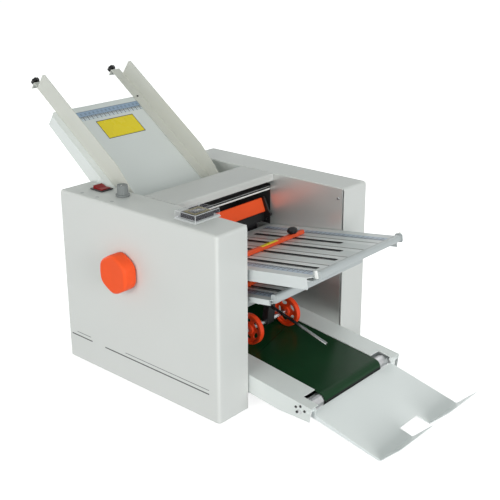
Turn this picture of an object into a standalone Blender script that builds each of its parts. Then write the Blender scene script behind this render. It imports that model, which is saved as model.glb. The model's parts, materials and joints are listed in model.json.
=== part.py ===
"""Desktop paper folding machine, modelled as separate parts at real size.

Metres, +Z up. Paper runs towards +X, and the side with the hand knob faces -Y.
Heights are measured from the surface that the feet stand on, X from the rear faces
of the housings and Y from the middle plane. The last step moves the whole machine,
so that the middle of its outer box stands over the origin.
"""

import math

import bmesh
import bpy
from mathutils import Matrix, Vector

# Fits
GAP = 0.0003  # between pieces that touch
RUN_GAP = 0.0005  # beside a piece that turns or slides
OVERRUN = 0.002  # how far a cutter passes the face that it cuts
STEP = 0.0002  # between faces of one piece that would otherwise lie in one plane

# Housings and frame
HOUSING_LENGTH = 0.378
HOUSING_HEIGHT = 0.318
HOUSING_EDGE = 0.0055
HOUSING_WIDTH = 0.071
CHANNEL_WIDTH = 0.250
SHEET = 0.0015
SIDE_PLATE_SHEET = 0.002
SIDE_PLATE_SETBACK = 0.003
SIDE_PLATE_DROP = 0.001
BASE_SHEET = 0.002
BASE_MIDDLE_SETBACK = 0.078
FOOT_HEIGHT = 0.0027
FOOT_RADIUS = 0.012
FOOT_TAPER = 0.0015
FOOT_INSET = 0.030
FOOT_SIDE_INSET = 0.028

# Cover, cross bar and front guard
COVER_REAR = 0.140
COVER_LENGTH = 0.079
COVER_LIP = 0.0136
COVER_BEND = 0.003
COVER_BAR_X = 0.208
COVER_BAR_DROP = 0.0235
COVER_BAR_DEPTH = 0.008
COVER_BAR_HEIGHT = 0.009
COVER_BAR_EDGE = 0.0012
GUARD_X = 0.2030
GUARD_DROP = 0.0611
GUARD_HEIGHT = 0.0266
GUARD_THICKNESS = 0.003
GUARD_SIDE_SPACE = 0.010
GUARD_LEAN = math.radians(21.0)
GUARD_EDGE = 0.001
GUARD_STRIP_DROP = 0.0915
GUARD_STRIP_HEIGHT = 0.0155
GUARD_STRIP_SHEET = 0.002
GUARD_BRACKET_SHEET = 0.004
GUARD_BRACKET_REACH = 0.017
GUARD_FOOT_HEIGHT = 0.004
GUARD_BOSS_RADIUS = 0.005

# Feed tray and its paper guides. Places along the slope are measured from the tray's lower end
TRAY_SLOPE = math.radians(35.84)
TRAY_END_X = 0.1500
TRAY_END_DROP = 0.0837
TRAY_LENGTH = 0.3257
TRAY_SIDE_SPACE = 0.005
TRAY_CORNER = 0.008
TRAY_FLANGE_TOP = 0.022
TRAY_FLANGE_DEPTH = 0.028
TRAY_FLANGE_FULL = 0.1757
TRAY_STUDS = (0.1557, 0.0357)
STUD_RADIUS = 0.004
STUD_DROP = 0.012
GUIDE_SIDE_SPACE = 0.020
GUIDE_ABOVE_TRAY = 0.064
GUIDE_HEIGHT = 0.038
GUIDE_TIP_CORNER = 0.004
GUIDE_SLOPE_RUN = 0.103
GUIDE_END_AT = 0.0437
GUIDE_END_HEIGHT = 0.0177
GUIDE_FLANGE = 0.0215
GUIDE_TAB_AT = 0.078
GUIDE_TAB_DEPTH = 0.014
GUIDE_KNOB_DROP = 0.0045
GUIDE_KNOB_RADIUS = 0.0078
GUIDE_KNOB_LENGTH = 0.008
GUIDE_KNOB_LOBES = 5
GUIDE_KNOB_LOBE_DEPTH = 0.0015
GUIDE_KNOB_LOBE_STEPS = 6
GUIDE_HUB_RADIUS = 0.0042
GUIDE_HUB_LENGTH = 0.004
GUIDE_SCREW_RADIUS = 0.002
GUIDE_SCREW_LENGTH = 0.014
FEED_CONTACT_AT = 0.0268
FEED_WHEEL_RADIUS = 0.020
FEED_WHEEL_WIDTH = 0.026
PAD_LENGTH = 0.024
PAD_WIDTH = 0.030
PAD_THICKNESS = 0.004

# Fold rollers, their gears, pulleys and belts
ROLLER_RADIUS = 0.016
JOURNAL_RADIUS = 0.004
ROLLER_2_X = 0.1643
ROLLER_2_DROP = 0.110
NIP_TILT = math.radians(75.0)
CROSS_TILT = math.radians(-35.0)
JOURNAL_STUB = 0.004
GEAR_TEETH = 16
GEAR_WIDTH = 0.010
GEAR_OFFSET = 0.005
GEAR_BACKLASH = 0.0005
ADDENDUM_SHARE = 0.85
DEDENDUM_SHARE = 1.15
PRESSURE_ANGLE = math.radians(20.0)
PULLEY_RADIUS = 0.013
MOTOR_PULLEY_RADIUS = 0.009
PULLEY_RIM = 0.0025
PULLEY_WIDTH = 0.010
PULLEY_WALL = 0.0012
PULLEY_OFFSET = 0.004
BELT_THICKNESS = 0.0015
BELT_SIDE_GAP = 0.0006

# Hand knob
HAND_KNOB_RADIUS = 0.034
HAND_KNOB_LOBES = 6
HAND_KNOB_LOBE_DEPTH = 0.0022
HAND_KNOB_LOBE_STEPS = 8
HAND_KNOB_THICKNESS = 0.023
HAND_KNOB_EDGE = 0.004
HAND_KNOB_COLLAR_RADIUS = 0.016
HAND_KNOB_COLLAR = 0.004
HAND_KNOB_BORE_DEPTH = 0.016

# Motor
MOTOR_X = 0.075
MOTOR_Z = 0.055
MOTOR_RADIUS = 0.031
MOTOR_LENGTH = 0.080
MOTOR_END_GAP = 0.004
MOTOR_NOSE_RADIUS = 0.012
MOTOR_NOSE = 0.003
MOTOR_FOOT_LENGTH = 0.050
MOTOR_FOOT_WIDTH = 0.060
MOTOR_BORE_DEPTH = 0.012

# Fold plates: pockets of two sheets, with slots for the fingers of the stop bar
PLATE_SLOPE = math.radians(8.25)
REAR_PLATE_SLOPE = math.radians(10.0)
UPPER_PLATE_X = 0.210
UPPER_PLATE_DROP = 0.0994
UPPER_PLATE_LENGTH = 0.2943
UPPER_PLATE_SIDE_SPACE = 0.003
UPPER_PLATE_CORNER = 0.012
LOWER_PLATE_X = 0.212
LOWER_PLATE_DROP = 0.14645
LOWER_PLATE_LENGTH = 0.2122
LOWER_PLATE_SIDE_SPACE = 0.005
LOWER_PLATE_CORNER = 0.005
REAR_UPPER_X = 0.162
REAR_UPPER_DROP = 0.141
REAR_LOWER_X = 0.178
REAR_LOWER_DROP = 0.193
REAR_UPPER_LENGTH = 0.2355
REAR_LOWER_LENGTH = 0.2315
REAR_PLATE_SIDE_SPACE = 0.007
REAR_PLATE_CORNER = 0.006
PLATE_SHEET = 0.0012
POCKET_GAP = 0.003
PLATE_RAIL_SHEET = 0.0016
UPPER_RAIL_DEPTH = 0.019
LOWER_RAIL_DEPTH = 0.009
REAR_RAIL_DEPTH = 0.012
RAIL_START = 0.014
UPPER_BAR_DEPTH = 0.011
UPPER_BAR_HEIGHT = 0.012
LOWER_BAR_DEPTH = 0.012
LOWER_BAR_HEIGHT = 0.014
BAR_RISE = 0.001
BAR_EDGE = 0.0035
BAR_EDGE_STEPS = 2
BAR_CAP_SHEET = 0.002
BAR_CAP_RIM = 0.0015
SLOT_WIDTH = 0.007
SLOT_START = 0.025
SLOT_PLACE_SHARES = (0.5333, 0.1524, -0.2667, -0.72)  # of half the guides' spacing, from the middle
UPPER_SLOT_END_SHARES = (0.7418, 0.8413, 0.9154, 0.9133)  # of the plate's length
LOWER_SLOT_END_SHARES = (0.9189, 0.9189, 0.9189, 0.9189)
PLATE_STUDS = (0.030, 0.130)
FRONT_FLARE_RUN = 0.008
FRONT_FLARE_DROP = 0.006
REAR_FLARE_RUN = 0.003
REAR_FLARE_DROP = 0.002

# Stop bars and their knobs
UPPER_STOP_SHARE = 0.3846  # of the plate's length
LOWER_STOP_SHARE = 0.589
STOP_BAR_SIZE = 0.008
STOP_BAR_HEIGHT = 0.0072
STOP_BAR_RISE = 0.0005
STOP_BAR_EDGE = 0.0008
STOP_BAR_SIDE_SPACE = 0.008
STOP_BAR_PAST_KNOB = 0.028
STOP_FINGER_WIDTH = 0.003
STOP_KNOB_RADIUS = 0.0094
STOP_KNOB_HEIGHT = 0.0115
STOP_SCREW_RADIUS = 0.002

# Delivery conveyor, with lengths measured down its slope
CONVEYOR_SLOPE = math.atan(0.1185)
CONVEYOR_REAR_X = 0.205
CONVEYOR_REAR_Z = 0.08374
RAIL_DEPTH = 0.033
RAIL_FRONT = 0.3022
RAIL_FRONT_DEPTH = 0.025
RAIL_KNEE = 0.2420
RAIL_NOTCH = 0.2719
RAIL_STRIP = 0.0192
CONVEYOR_OFFSET = 0.003
BELT_SIDE_SPACE = 0.047
BELT_SIDE_CLEARANCE = 0.001
CONVEYOR_BELT_SHEET = 0.0015
CONVEYOR_BELT_DROP = 0.0017
BELT_ROLLER_RADIUS = 0.012
DRIVE_ROLLER_AT = 0.016
END_ROLLER_AT = 0.2813
END_ROLLER_OVERHANG = 0.025
BED_MARGIN = 0.017
BELT_SEAM_STEPS = 20
STACKER_PIVOT_AT = 0.2976
STACKER_PIVOT_DROP = 0.0088
PIVOT_PIN_RADIUS = 0.003

# Stacker tray, with lengths measured down its slope from the pivot
STACKER_SLOPE = math.radians(13.2)
STACKER_DROP = 0.0066
STACKER_START = 0.001
STACKER_LENGTH = 0.1317
STACKER_SIDE_SPACE = 0.013
STACKER_LIP = 0.048
STACKER_LIP_BEND = math.radians(57.8)
STACKER_CUT_LEFT = 0.0236
STACKER_CUT_RIGHT = 0.027
STACKER_CUT_FROM = 0.1075
STACKER_FLANGE = 0.007
STACKER_FLANGE_TIP = 0.0022
STACKER_FLANGE_END = 0.129
STACKER_EAR_RADIUS = 0.0058

# Press wheels and their bracket
PRESS_AXLE_X = 0.3122
PRESS_WHEEL_RADIUS = 0.0275
PRESS_WHEEL_WIDTH = 0.009
PRESS_WHEEL_INSET = 0.0285
PRESS_WHEEL_RIM = 0.004
PRESS_WHEEL_WEB = 0.003
PRESS_WHEEL_HUB = 0.008
PRESS_WHEEL_HOLES = 5
PRESS_WHEEL_HOLE_RADIUS = 0.0040
PRESS_WHEEL_HOLE_CIRCLE = 0.0158
PRESS_WHEEL_HOLE_SWEEP = math.radians(24.0)
PRESS_WHEEL_HOLE_STEPS = 6
PRESS_AXLE_RADIUS = 0.004
PRESS_AXLE_OVERHANG = 0.004
PRESS_PIVOT_X = 0.2985
PRESS_PIVOT_DROP = 0.1890
PRESS_ELBOW_X = 0.3170
PRESS_ELBOW_DROP = 0.1910
PRESS_ARM_WIDTH = 0.014
PRESS_ARM_RADIUS = 0.0055
PRESS_FOOT_RADIUS = 0.007
PRESS_FOOT_WIDTH = 0.018
PRESS_PIN_RADIUS = 0.002
ROD_RADIUS = 0.00275
ROD_Y = -0.004
ROD_END_X = 0.4440
ROD_END_Z = 0.0950
EXIT_GUIDE_REAR_X = 0.2290
EXIT_GUIDE_REAR_DROP = 0.1780
EXIT_GUIDE_FRONT_X = 0.2900
EXIT_GUIDE_FRONT_DROP = 0.1820
EXIT_GUIDE_LIP = 0.0140
EXIT_LUG_SHEET = 0.003

# Controls on the left housing. An inset is from its outer face, as a share of its width
SWITCH_X = 0.0585
SWITCH_INSET_SHARE = 0.6718
SWITCH_LENGTH = 0.031
SWITCH_WIDTH = 0.0266
SWITCH_FLANGE = 0.002
SWITCH_BODY_LENGTH = 0.027
SWITCH_BODY_WIDTH = 0.0226
SWITCH_BODY_DEPTH = 0.020
SWITCH_WALL = 0.0012
ROCKER_LENGTH = 0.0230
ROCKER_WIDTH = 0.0194
ROCKER_PIVOT_DROP = 0.0040
ROCKER_RISE = 0.0075
ROCKER_DIP = 0.0055
ROCKER_DEPTH = 0.0060
ROCKER_TILT = math.radians(9.0)
DIAL_X = 0.116
DIAL_INSET_SHARE = 0.6479
DIAL_SKIRT_RADIUS = 0.0122
DIAL_SKIRT_HEIGHT = 0.0035
DIAL_RADIUS = 0.0098
DIAL_TOP_RADIUS = 0.0092
DIAL_HEIGHT = 0.020
DIAL_STEM_RADIUS = 0.003
DIAL_STEM_LENGTH = 0.012
COUNTER_SETBACK = 0.084
COUNTER_INSET_SHARE = 0.6338
COUNTER_LENGTH = 0.048
COUNTER_SIDE_SPACE = 0.0065
COUNTER_FLANGE = 0.0018
COUNTER_CORE_LENGTH = 0.034
COUNTER_CORE_INSET = 0.009
COUNTER_CORE_HEIGHT = 0.009
COUNTER_CORE_DEPTH = 0.025
COUNTER_WINDOW_LENGTH = 0.010
COUNTER_WINDOW_WIDTH = 0.028
COUNTER_WINDOW_DEPTH = 0.0015
COUNTER_LID_LENGTH = 0.0465
COUNTER_LID_INSET = 0.001
COUNTER_LID_HEIGHT = 0.0125
COUNTER_LID_WALL = 0.0015
COUNTER_LID_EDGE = 0.002
INLET_INSET_SHARE = 0.507
INLET_Z = 0.060
INLET_FLANGE_WIDTH = 0.046
INLET_FLANGE_HEIGHT = 0.026
INLET_FLANGE_SHEET = 0.0025
INLET_BODY_WIDTH = 0.028
INLET_BODY_HEIGHT = 0.021
INLET_BODY_DEPTH = 0.018
INLET_WALL = 0.0018
INLET_CORNER = 0.005
INLET_PIN_WIDTH = 0.002
INLET_PIN_HEIGHT = 0.004
INLET_PIN_LENGTH = 0.010
INLET_PIN_SPACING = 0.014
INLET_PIN_RISE = 0.003

# Facets of round pieces
FINE_STEPS = 24
ROUND_STEPS = 16
SMALL_STEPS = 10
CORNER_STEPS = 3
SHARP_ANGLE = math.radians(35.0)
FACET_TURN = math.radians(4.0)  # keeps the facets of joined round pieces from meeting edge on edge
WELD = 0.00001

# Sizes and places worked out from those above. A drop is from the top of the housings
CHANNEL_HALF = CHANNEL_WIDTH / 2
MACHINE_WIDTH = CHANNEL_WIDTH + 2 * HOUSING_WIDTH
HALF_WIDTH = MACHINE_WIDTH / 2
SIDE_PLATE_OUTER = CHANNEL_HALF + SIDE_PLATE_SHEET
HOUSING_INNER = SIDE_PLATE_OUTER + GAP
BASE_BOTTOM = FOOT_HEIGHT + GAP
BASE_TOP = BASE_BOTTOM + BASE_SHEET
HOUSING_TOP = BASE_BOTTOM + HOUSING_HEIGHT
GUARD_Z = HOUSING_TOP - GUARD_DROP
GUARD_STRIP_Z = HOUSING_TOP - GUARD_STRIP_DROP
TRAY_END_Z = HOUSING_TOP - TRAY_END_DROP
ROLLER_2_Z = HOUSING_TOP - ROLLER_2_DROP
UPPER_PLATE_Z = HOUSING_TOP - UPPER_PLATE_DROP
LOWER_PLATE_Z = HOUSING_TOP - LOWER_PLATE_DROP
REAR_UPPER_Z = HOUSING_TOP - REAR_UPPER_DROP
REAR_LOWER_Z = HOUSING_TOP - REAR_LOWER_DROP
PRESS_PIVOT_Z = HOUSING_TOP - PRESS_PIVOT_DROP
PRESS_ELBOW_Z = HOUSING_TOP - PRESS_ELBOW_DROP
EXIT_GUIDE_REAR_Z = HOUSING_TOP - EXIT_GUIDE_REAR_DROP
EXIT_GUIDE_FRONT_Z = HOUSING_TOP - EXIT_GUIDE_FRONT_DROP
ROLLER_SPACING = 2 * ROLLER_RADIUS + GAP
ROLLER_HALF = CHANNEL_HALF - RUN_GAP
JOURNAL_HOLE = JOURNAL_RADIUS + GAP
GEAR_INNER = SIDE_PLATE_OUTER + GEAR_OFFSET
GEAR_OUTER = GEAR_INNER + GEAR_WIDTH
PULLEY_INNER = GEAR_OUTER + PULLEY_OFFSET
PULLEY_OUTER = PULLEY_INNER + PULLEY_WIDTH
CLOSE_FIT = CHANNEL_HALF - GAP
GUARD_WIDTH = CHANNEL_WIDTH - 2 * GUARD_SIDE_SPACE
TRAY_WIDTH = CHANNEL_WIDTH - 2 * TRAY_SIDE_SPACE
FEED_CONTACT = TRAY_LENGTH - FEED_CONTACT_AT
GUIDE_END = TRAY_LENGTH - GUIDE_END_AT
GUIDE_SPACING = CHANNEL_WIDTH - 2 * GUIDE_SIDE_SPACE
CONVEYOR_BELT_WIDTH = CHANNEL_WIDTH - 2 * BELT_SIDE_SPACE
PRESS_WHEEL_SPACING = CONVEYOR_BELT_WIDTH - 2 * PRESS_WHEEL_INSET
STACKER_WIDTH = CHANNEL_WIDTH - 2 * STACKER_SIDE_SPACE
SWITCH_Y = HOUSING_WIDTH * SWITCH_INSET_SHARE - HALF_WIDTH
DIAL_Y = HOUSING_WIDTH * DIAL_INSET_SHARE - HALF_WIDTH
INLET_Y = HOUSING_WIDTH * INLET_INSET_SHARE - HALF_WIDTH
COUNTER_X = HOUSING_LENGTH - COUNTER_SETBACK
COUNTER_Y = HOUSING_WIDTH * COUNTER_INSET_SHARE - HALF_WIDTH
COUNTER_WIDTH = HOUSING_WIDTH - 2 * COUNTER_SIDE_SPACE

SIDE_VIEW = (math.pi / 2, 0, 0)  # local X forwards, local Y up, local Z to the left side

FINISHES = {
    "white_paint": ((0.72, 0.72, 0.69), 0.45, 0.0),
    "white_plate": ((0.78, 0.80, 0.80), 0.35, 0.0),
    "bright_sheet": ((0.62, 0.62, 0.60), 0.25, 1.0),
    "steel": ((0.60, 0.60, 0.59), 0.30, 1.0),
    "aluminium": ((0.66, 0.67, 0.68), 0.35, 1.0),
    "dark_metal": ((0.05, 0.05, 0.055), 0.45, 0.6),
    "black_plastic": ((0.012, 0.012, 0.013), 0.40, 0.0),
    "grey_plastic": ((0.30, 0.30, 0.31), 0.45, 0.0),
    "orange_plastic": ((0.85, 0.13, 0.02), 0.35, 0.0),
    "red_plastic": ((0.60, 0.02, 0.02), 0.25, 0.0),
    "clear_plastic": ((0.85, 0.88, 0.90), 0.05, 0.0),
    "black_rubber": ((0.02, 0.02, 0.02), 0.70, 0.0),
    "roller_rubber": ((0.10, 0.10, 0.11), 0.65, 0.0),
    "green_belt": ((0.005, 0.06, 0.022), 0.30, 0.0),
    "white_nylon": ((0.80, 0.79, 0.74), 0.40, 0.0),
}


# Scene, collections and finishes
def clear_scene():
    for obj in list(bpy.data.objects):
        bpy.data.objects.remove(obj, do_unlink=True)


def add_collection(name):
    collection = bpy.data.collections.new(name)
    bpy.context.scene.collection.children.link(collection)
    return collection


def add_empty(name, at, turn, parent):
    empty = bpy.data.objects.new(name, None)
    parts.objects.link(empty)
    empty.location = at
    empty.rotation_euler = turn
    empty.parent = parent
    return empty


def make_finish(name):
    colour, roughness, metallic = FINISHES[name]
    finish = bpy.data.materials.new(name)
    finish.use_nodes = True
    shader = finish.node_tree.nodes["Principled BSDF"]
    shader.inputs["Base Color"].default_value = (*colour, 1)
    shader.inputs["Roughness"].default_value = roughness
    shader.inputs["Metallic"].default_value = metallic
    return finish


def add_part(name, mesh, finish, at=(0, 0, 0), turn=(0, 0, 0), parent=None):
    """A named part of the machine with its own copy of a finish."""
    mesh.name = name
    obj = bpy.data.objects.new(name, mesh)
    parts.objects.link(obj)
    obj.location = at
    obj.rotation_euler = turn
    obj.parent = parent or machine
    material = make_finish(finish)
    material.name = name + "_" + finish
    mesh.materials.clear()
    mesh.materials.append(material)
    mesh.shade_smooth()
    mesh.set_sharp_from_angle(angle=SHARP_ANGLE)
    return obj


def add_guide(name, mesh, at=(0, 0, 0), turn=(0, 0, 0), parent=None):
    """A hidden solid that a Boolean uses."""
    obj = bpy.data.objects.new(name, mesh)
    cutters.objects.link(obj)
    obj.location = at
    obj.rotation_euler = turn
    obj.parent = parent or machine
    obj.hide_render = True
    obj.display_type = "WIRE"
    return obj


def combine(obj, other, operation):
    modifier = obj.modifiers.new(operation.lower() + "_" + other.name, "BOOLEAN")
    modifier.operation = operation
    modifier.solver = "EXACT"
    modifier.object = other


def cut(obj, other):
    combine(obj, other, "DIFFERENCE")


def join(obj, other):
    combine(obj, other, "UNION")


def add_thickness(obj, thickness):
    """Turns an open sheet into a wall that lies behind its outer face."""
    modifier = obj.modifiers.new("wall", "SOLIDIFY")
    modifier.thickness = thickness
    modifier.offset = -1
    modifier.use_even_offset = True


# Meshes
def mesh_from(bm, name="shape"):
    mesh = bpy.data.meshes.new(name)
    bm.to_mesh(mesh)
    bm.free()
    return mesh


def box(size, centre=(0, 0, 0), edge=0):
    """A block, with its edges broken when an edge size is given."""
    bm = bmesh.new()
    bmesh.ops.create_cube(bm, size=1)
    bmesh.ops.scale(bm, vec=size, verts=bm.verts)
    bmesh.ops.translate(bm, vec=centre, verts=bm.verts)
    if edge:
        bmesh.ops.bevel(bm, geom=bm.edges[:], offset=edge, segments=1, affect="EDGES")
    return mesh_from(bm)


def cylinder(radius, length, steps=SMALL_STEPS, top_radius=None):
    """A cylinder or cone along Z, centred."""
    bm = bmesh.new()
    end_radius = radius if top_radius is None else top_radius
    turn = Matrix.Rotation(FACET_TURN, 4, "Z")
    bmesh.ops.create_cone(
        bm, cap_ends=True, segments=steps, radius1=radius, radius2=end_radius, depth=length, matrix=turn
    )
    return mesh_from(bm)


def evaluated_mesh(obj):
    """The mesh that an object's curve or modifiers make, with its loose caps welded."""
    bpy.context.view_layer.update()
    graph = bpy.context.evaluated_depsgraph_get()
    mesh = bpy.data.meshes.new_from_object(obj.evaluated_get(graph))
    bm = bmesh.new()
    bm.from_mesh(mesh)
    bmesh.ops.remove_doubles(bm, verts=bm.verts, dist=WELD)
    bmesh.ops.recalc_face_normals(bm, faces=bm.faces)
    bm.to_mesh(mesh)
    bm.free()
    bpy.data.objects.remove(obj, do_unlink=True)
    return mesh


def flat_outline(loops, thickness):
    """A plate from closed outlines in XY, the first its edge and the others its holes."""
    curve = bpy.data.curves.new("outline", "CURVE")
    curve.dimensions = "2D"
    curve.fill_mode = "BOTH"
    curve.extrude = thickness / 2
    for loop in loops:
        spline = curve.splines.new("POLY")
        spline.points.add(len(loop) - 1)
        for point, (x, y) in zip(spline.points, loop):
            point.co = (x, y, 0, 1)
        spline.use_cyclic_u = True
    obj = bpy.data.objects.new("outline", curve)
    cutters.objects.link(obj)
    return evaluated_mesh(obj)


def turned(profile, steps=ROUND_STEPS):
    """A solid of revolution about Z from (radius, height) points, listed from its top down."""
    bm = bmesh.new()
    verts = [bm.verts.new((radius, 0, height)) for radius, height in profile]
    for first, second in zip(verts, verts[1:]):
        bm.edges.new((first, second))
    obj = bpy.data.objects.new("profile", mesh_from(bm))
    cutters.objects.link(obj)
    screw = obj.modifiers.new("turn", "SCREW")
    screw.axis = "Z"
    screw.angle = 2 * math.pi
    screw.steps = steps
    screw.render_steps = steps
    screw.use_merge_vertices = True
    screw.merge_threshold = WELD
    return evaluated_mesh(obj)


def stepped(sections, top):
    """Turned profile of cylinders: (radius, length) pairs from the top down."""
    profile = [(0, top)]
    height = top
    for radius, length in sections:
        profile.append((radius, height))
        height -= length
        profile.append((radius, height))
    profile.append((0, height))
    return profile


# Outlines
def circle(radius, steps=SMALL_STEPS, centre=(0, 0), start=0):
    angles = [start + 2 * math.pi * i / steps for i in range(steps)]
    return [(centre[0] + radius * math.cos(a), centre[1] + radius * math.sin(a)) for a in angles]


def rectangle(left, bottom, right, top):
    return [(left, bottom), (right, bottom), (right, top), (left, top)]


def rounded(points, radius, steps=CORNER_STEPS, closed=True):
    """Rounds every corner of a path with an arc. The ends of an open path stay."""
    result = []
    count = len(points)
    for i, corner in enumerate(points):
        if not closed and i in (0, count - 1):
            result.append(corner)
            continue
        here = Vector(corner)
        back = (Vector(points[i - 1]) - here).normalized()
        ahead = (Vector(points[(i + 1) % count]) - here).normalized()
        half = math.acos(max(-1, min(1, back.dot(ahead)))) / 2
        reach = radius / math.tan(half)
        centre = here + (back + ahead).normalized() * (radius / math.sin(half))
        first = here + back * reach - centre
        last = here + ahead * reach - centre
        sweep = first.angle_signed(last)
        for step in range(steps + 1):
            turn = Matrix.Rotation(-sweep * step / steps, 2)
            result.append(tuple(centre + turn @ first))
    return result


def ribbon(points, thickness):
    """The closed outline of a bent sheet whose outer face follows the path.
    The sheet lies to the right of the path."""
    count = len(points)
    inner = []
    for i in range(count):
        here = Vector(points[i])
        normals = []
        if i > 0:
            run = (here - Vector(points[i - 1])).normalized()
            normals.append(Vector((run.y, -run.x)))
        if i < count - 1:
            run = (Vector(points[i + 1]) - here).normalized()
            normals.append(Vector((run.y, -run.x)))
        mean = sum(normals, Vector((0, 0))).normalized()
        inner.append(tuple(here + mean * (thickness / mean.dot(normals[0]))))
    return list(points) + inner[::-1]


def hull(points):
    """The convex outline round the points, anticlockwise."""
    points = sorted(set(points))
    sides = []
    for ordered in (points, points[::-1]):
        side = []
        for point in ordered:
            while len(side) > 1 and cross(side[-2], side[-1], point) <= 0:
                side.pop()
            side.append(point)
        sides += side[:-1]
    return sides


def cross(first, second, third):
    return (second[0] - first[0]) * (third[1] - first[1]) - (second[1] - first[1]) * (third[0] - first[0])


def around(circles, extra=0, steps=ROUND_STEPS):
    """The tight outline round circles given as (centre, radius)."""
    points = []
    for centre, radius in circles:
        points += circle(radius + extra, steps, centre)
    return hull(points)


def lobed(radius, depth, lobes, steps_per_lobe):
    """A hand knob's outline: round lobes with soft hollows between them, one lobe upwards."""
    count = lobes * steps_per_lobe
    points = []
    for i in range(count):
        angle = 2 * math.pi * i / count
        hollow = (1 - math.cos(lobes * angle)) / 2
        points.append(polar((0, 0), radius - depth * hollow, angle + math.pi / 2))
    return points


def polar(start, distance, angle):
    return (start[0] + distance * math.cos(angle), start[1] + distance * math.sin(angle))


def down_slope(start, slope, run, rise):
    """A point in the side view, run along a slope that falls forwards and rise square to it."""
    return (
        start[0] + run * math.cos(slope) + rise * math.sin(slope),
        start[1] - run * math.sin(slope) + rise * math.cos(slope),
    )


# Places of the shafts in the side view, as (x, z)
def roller_centres():
    second = (ROLLER_2_X, ROLLER_2_Z)
    first = polar(second, ROLLER_SPACING, NIP_TILT)
    third = polar(second, ROLLER_SPACING, CROSS_TILT)
    fourth = polar(third, ROLLER_SPACING, NIP_TILT + math.pi)
    fifth = polar(fourth, ROLLER_SPACING, CROSS_TILT)
    sixth = polar(fifth, ROLLER_SPACING, NIP_TILT + math.pi)
    return [first, second, third, fourth, fifth, sixth]


def tray_top():
    return down_slope((TRAY_END_X, TRAY_END_Z), TRAY_SLOPE, -TRAY_LENGTH, 0)


def feed_centre():
    return down_slope(tray_top(), TRAY_SLOPE, FEED_CONTACT, FEED_WHEEL_RADIUS + GAP)


def conveyor_point(run, rise):
    return down_slope((CONVEYOR_REAR_X, CONVEYOR_REAR_Z), CONVEYOR_SLOPE, run, rise)


def belt_roller_rise():
    return -(CONVEYOR_BELT_DROP + CONVEYOR_BELT_SHEET + GAP + BELT_ROLLER_RADIUS)


def drive_roller_centre():
    return conveyor_point(DRIVE_ROLLER_AT, belt_roller_rise())


def stacker_pivot():
    return conveyor_point(STACKER_PIVOT_AT, -STACKER_PIVOT_DROP)


def press_axle_centre():
    """Over the belt by the wheel's radius, at the axle's own X."""
    rise = PRESS_WHEEL_RADIUS + GAP - CONVEYOR_BELT_DROP
    run = (PRESS_AXLE_X - CONVEYOR_REAR_X - rise * math.sin(CONVEYOR_SLOPE)) / math.cos(CONVEYOR_SLOPE)
    return conveyor_point(run, rise)


def in_side_view(point, left=0):
    """World place of a side view point, moved towards the left side."""
    return (point[0], -left, point[1])


def counter_core_width():
    return COUNTER_WIDTH - 2 * COUNTER_CORE_INSET


# Housings and frame
def housing_shell(outer_side):
    """Folded shell, open towards the channel and below. outer_side is -1 on the left."""
    width = HALF_WIDTH - HOUSING_INNER
    bm = bmesh.new()
    bmesh.ops.create_cube(bm, size=1)
    bmesh.ops.scale(bm, vec=(HOUSING_LENGTH, width, HOUSING_HEIGHT), verts=bm.verts)
    middle = outer_side * (HOUSING_INNER + HALF_WIDTH) / 2
    centre = (HOUSING_LENGTH / 2, middle, BASE_BOTTOM + HOUSING_HEIGHT / 2)
    bmesh.ops.translate(bm, vec=centre, verts=bm.verts)
    open_ways = (Vector((0, 0, -1)), Vector((0, -outer_side, 0)))
    open_faces = [f for f in bm.faces if any(f.normal.dot(way) > 1 / 2 for way in open_ways)]
    bmesh.ops.delete(bm, geom=open_faces, context="FACES")
    folds = [e for e in bm.edges if not e.is_boundary]
    bmesh.ops.bevel(bm, geom=folds, offset=HOUSING_EDGE, segments=CORNER_STEPS, affect="EDGES", profile=0.5)
    return mesh_from(bm)


def make_left_housing():
    housing = add_part("left_housing", housing_shell(-1), "white_paint")
    add_thickness(housing, SHEET)
    wall_cut = 2 * (SHEET + OVERRUN)
    top = HOUSING_TOP - SHEET / 2
    shaft = roller_centres()[1]
    knob_hole = cylinder(JOURNAL_HOLE + RUN_GAP, wall_cut)
    cut(housing, add_guide("knob_shaft_hole", knob_hole, in_side_view(shaft, HALF_WIDTH), SIDE_VIEW))
    size = (SWITCH_BODY_LENGTH + 2 * GAP, SWITCH_BODY_WIDTH + 2 * GAP, wall_cut)
    cut(housing, add_guide("switch_opening", box(size), (SWITCH_X, SWITCH_Y, top)))
    stem_hole = cylinder(DIAL_STEM_RADIUS + GAP, wall_cut)
    cut(housing, add_guide("dial_hole", stem_hole, (DIAL_X, DIAL_Y, top)))
    size = (COUNTER_CORE_LENGTH + 2 * GAP, counter_core_width() + 2 * GAP, wall_cut)
    cut(housing, add_guide("counter_opening", box(size), (COUNTER_X, COUNTER_Y, top)))
    size = (wall_cut, INLET_BODY_WIDTH + 2 * GAP, INLET_BODY_HEIGHT + 2 * GAP)
    cut(housing, add_guide("inlet_opening", box(size), (SHEET / 2, INLET_Y, INLET_Z)))


def make_right_housing():
    housing = add_part("right_housing", housing_shell(1), "white_paint")
    add_thickness(housing, SHEET)


def make_side_plate(name, left, shafts):
    """Upright bearing plate with a hole for each shaft, given as (centre, radius)."""
    rear = SIDE_PLATE_SETBACK
    front = HOUSING_LENGTH - SIDE_PLATE_SETBACK
    outline = rectangle(rear, BASE_TOP + GAP, front, HOUSING_TOP - SIDE_PLATE_DROP)
    holes = [circle(radius + GAP, SMALL_STEPS, centre) for centre, radius in shafts]
    plate = flat_outline([outline] + holes, SIDE_PLATE_SHEET)
    middle = CHANNEL_HALF + SIDE_PLATE_SHEET / 2
    add_part(name, plate, "bright_sheet", (0, -middle if left else middle, 0), SIDE_VIEW)


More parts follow.
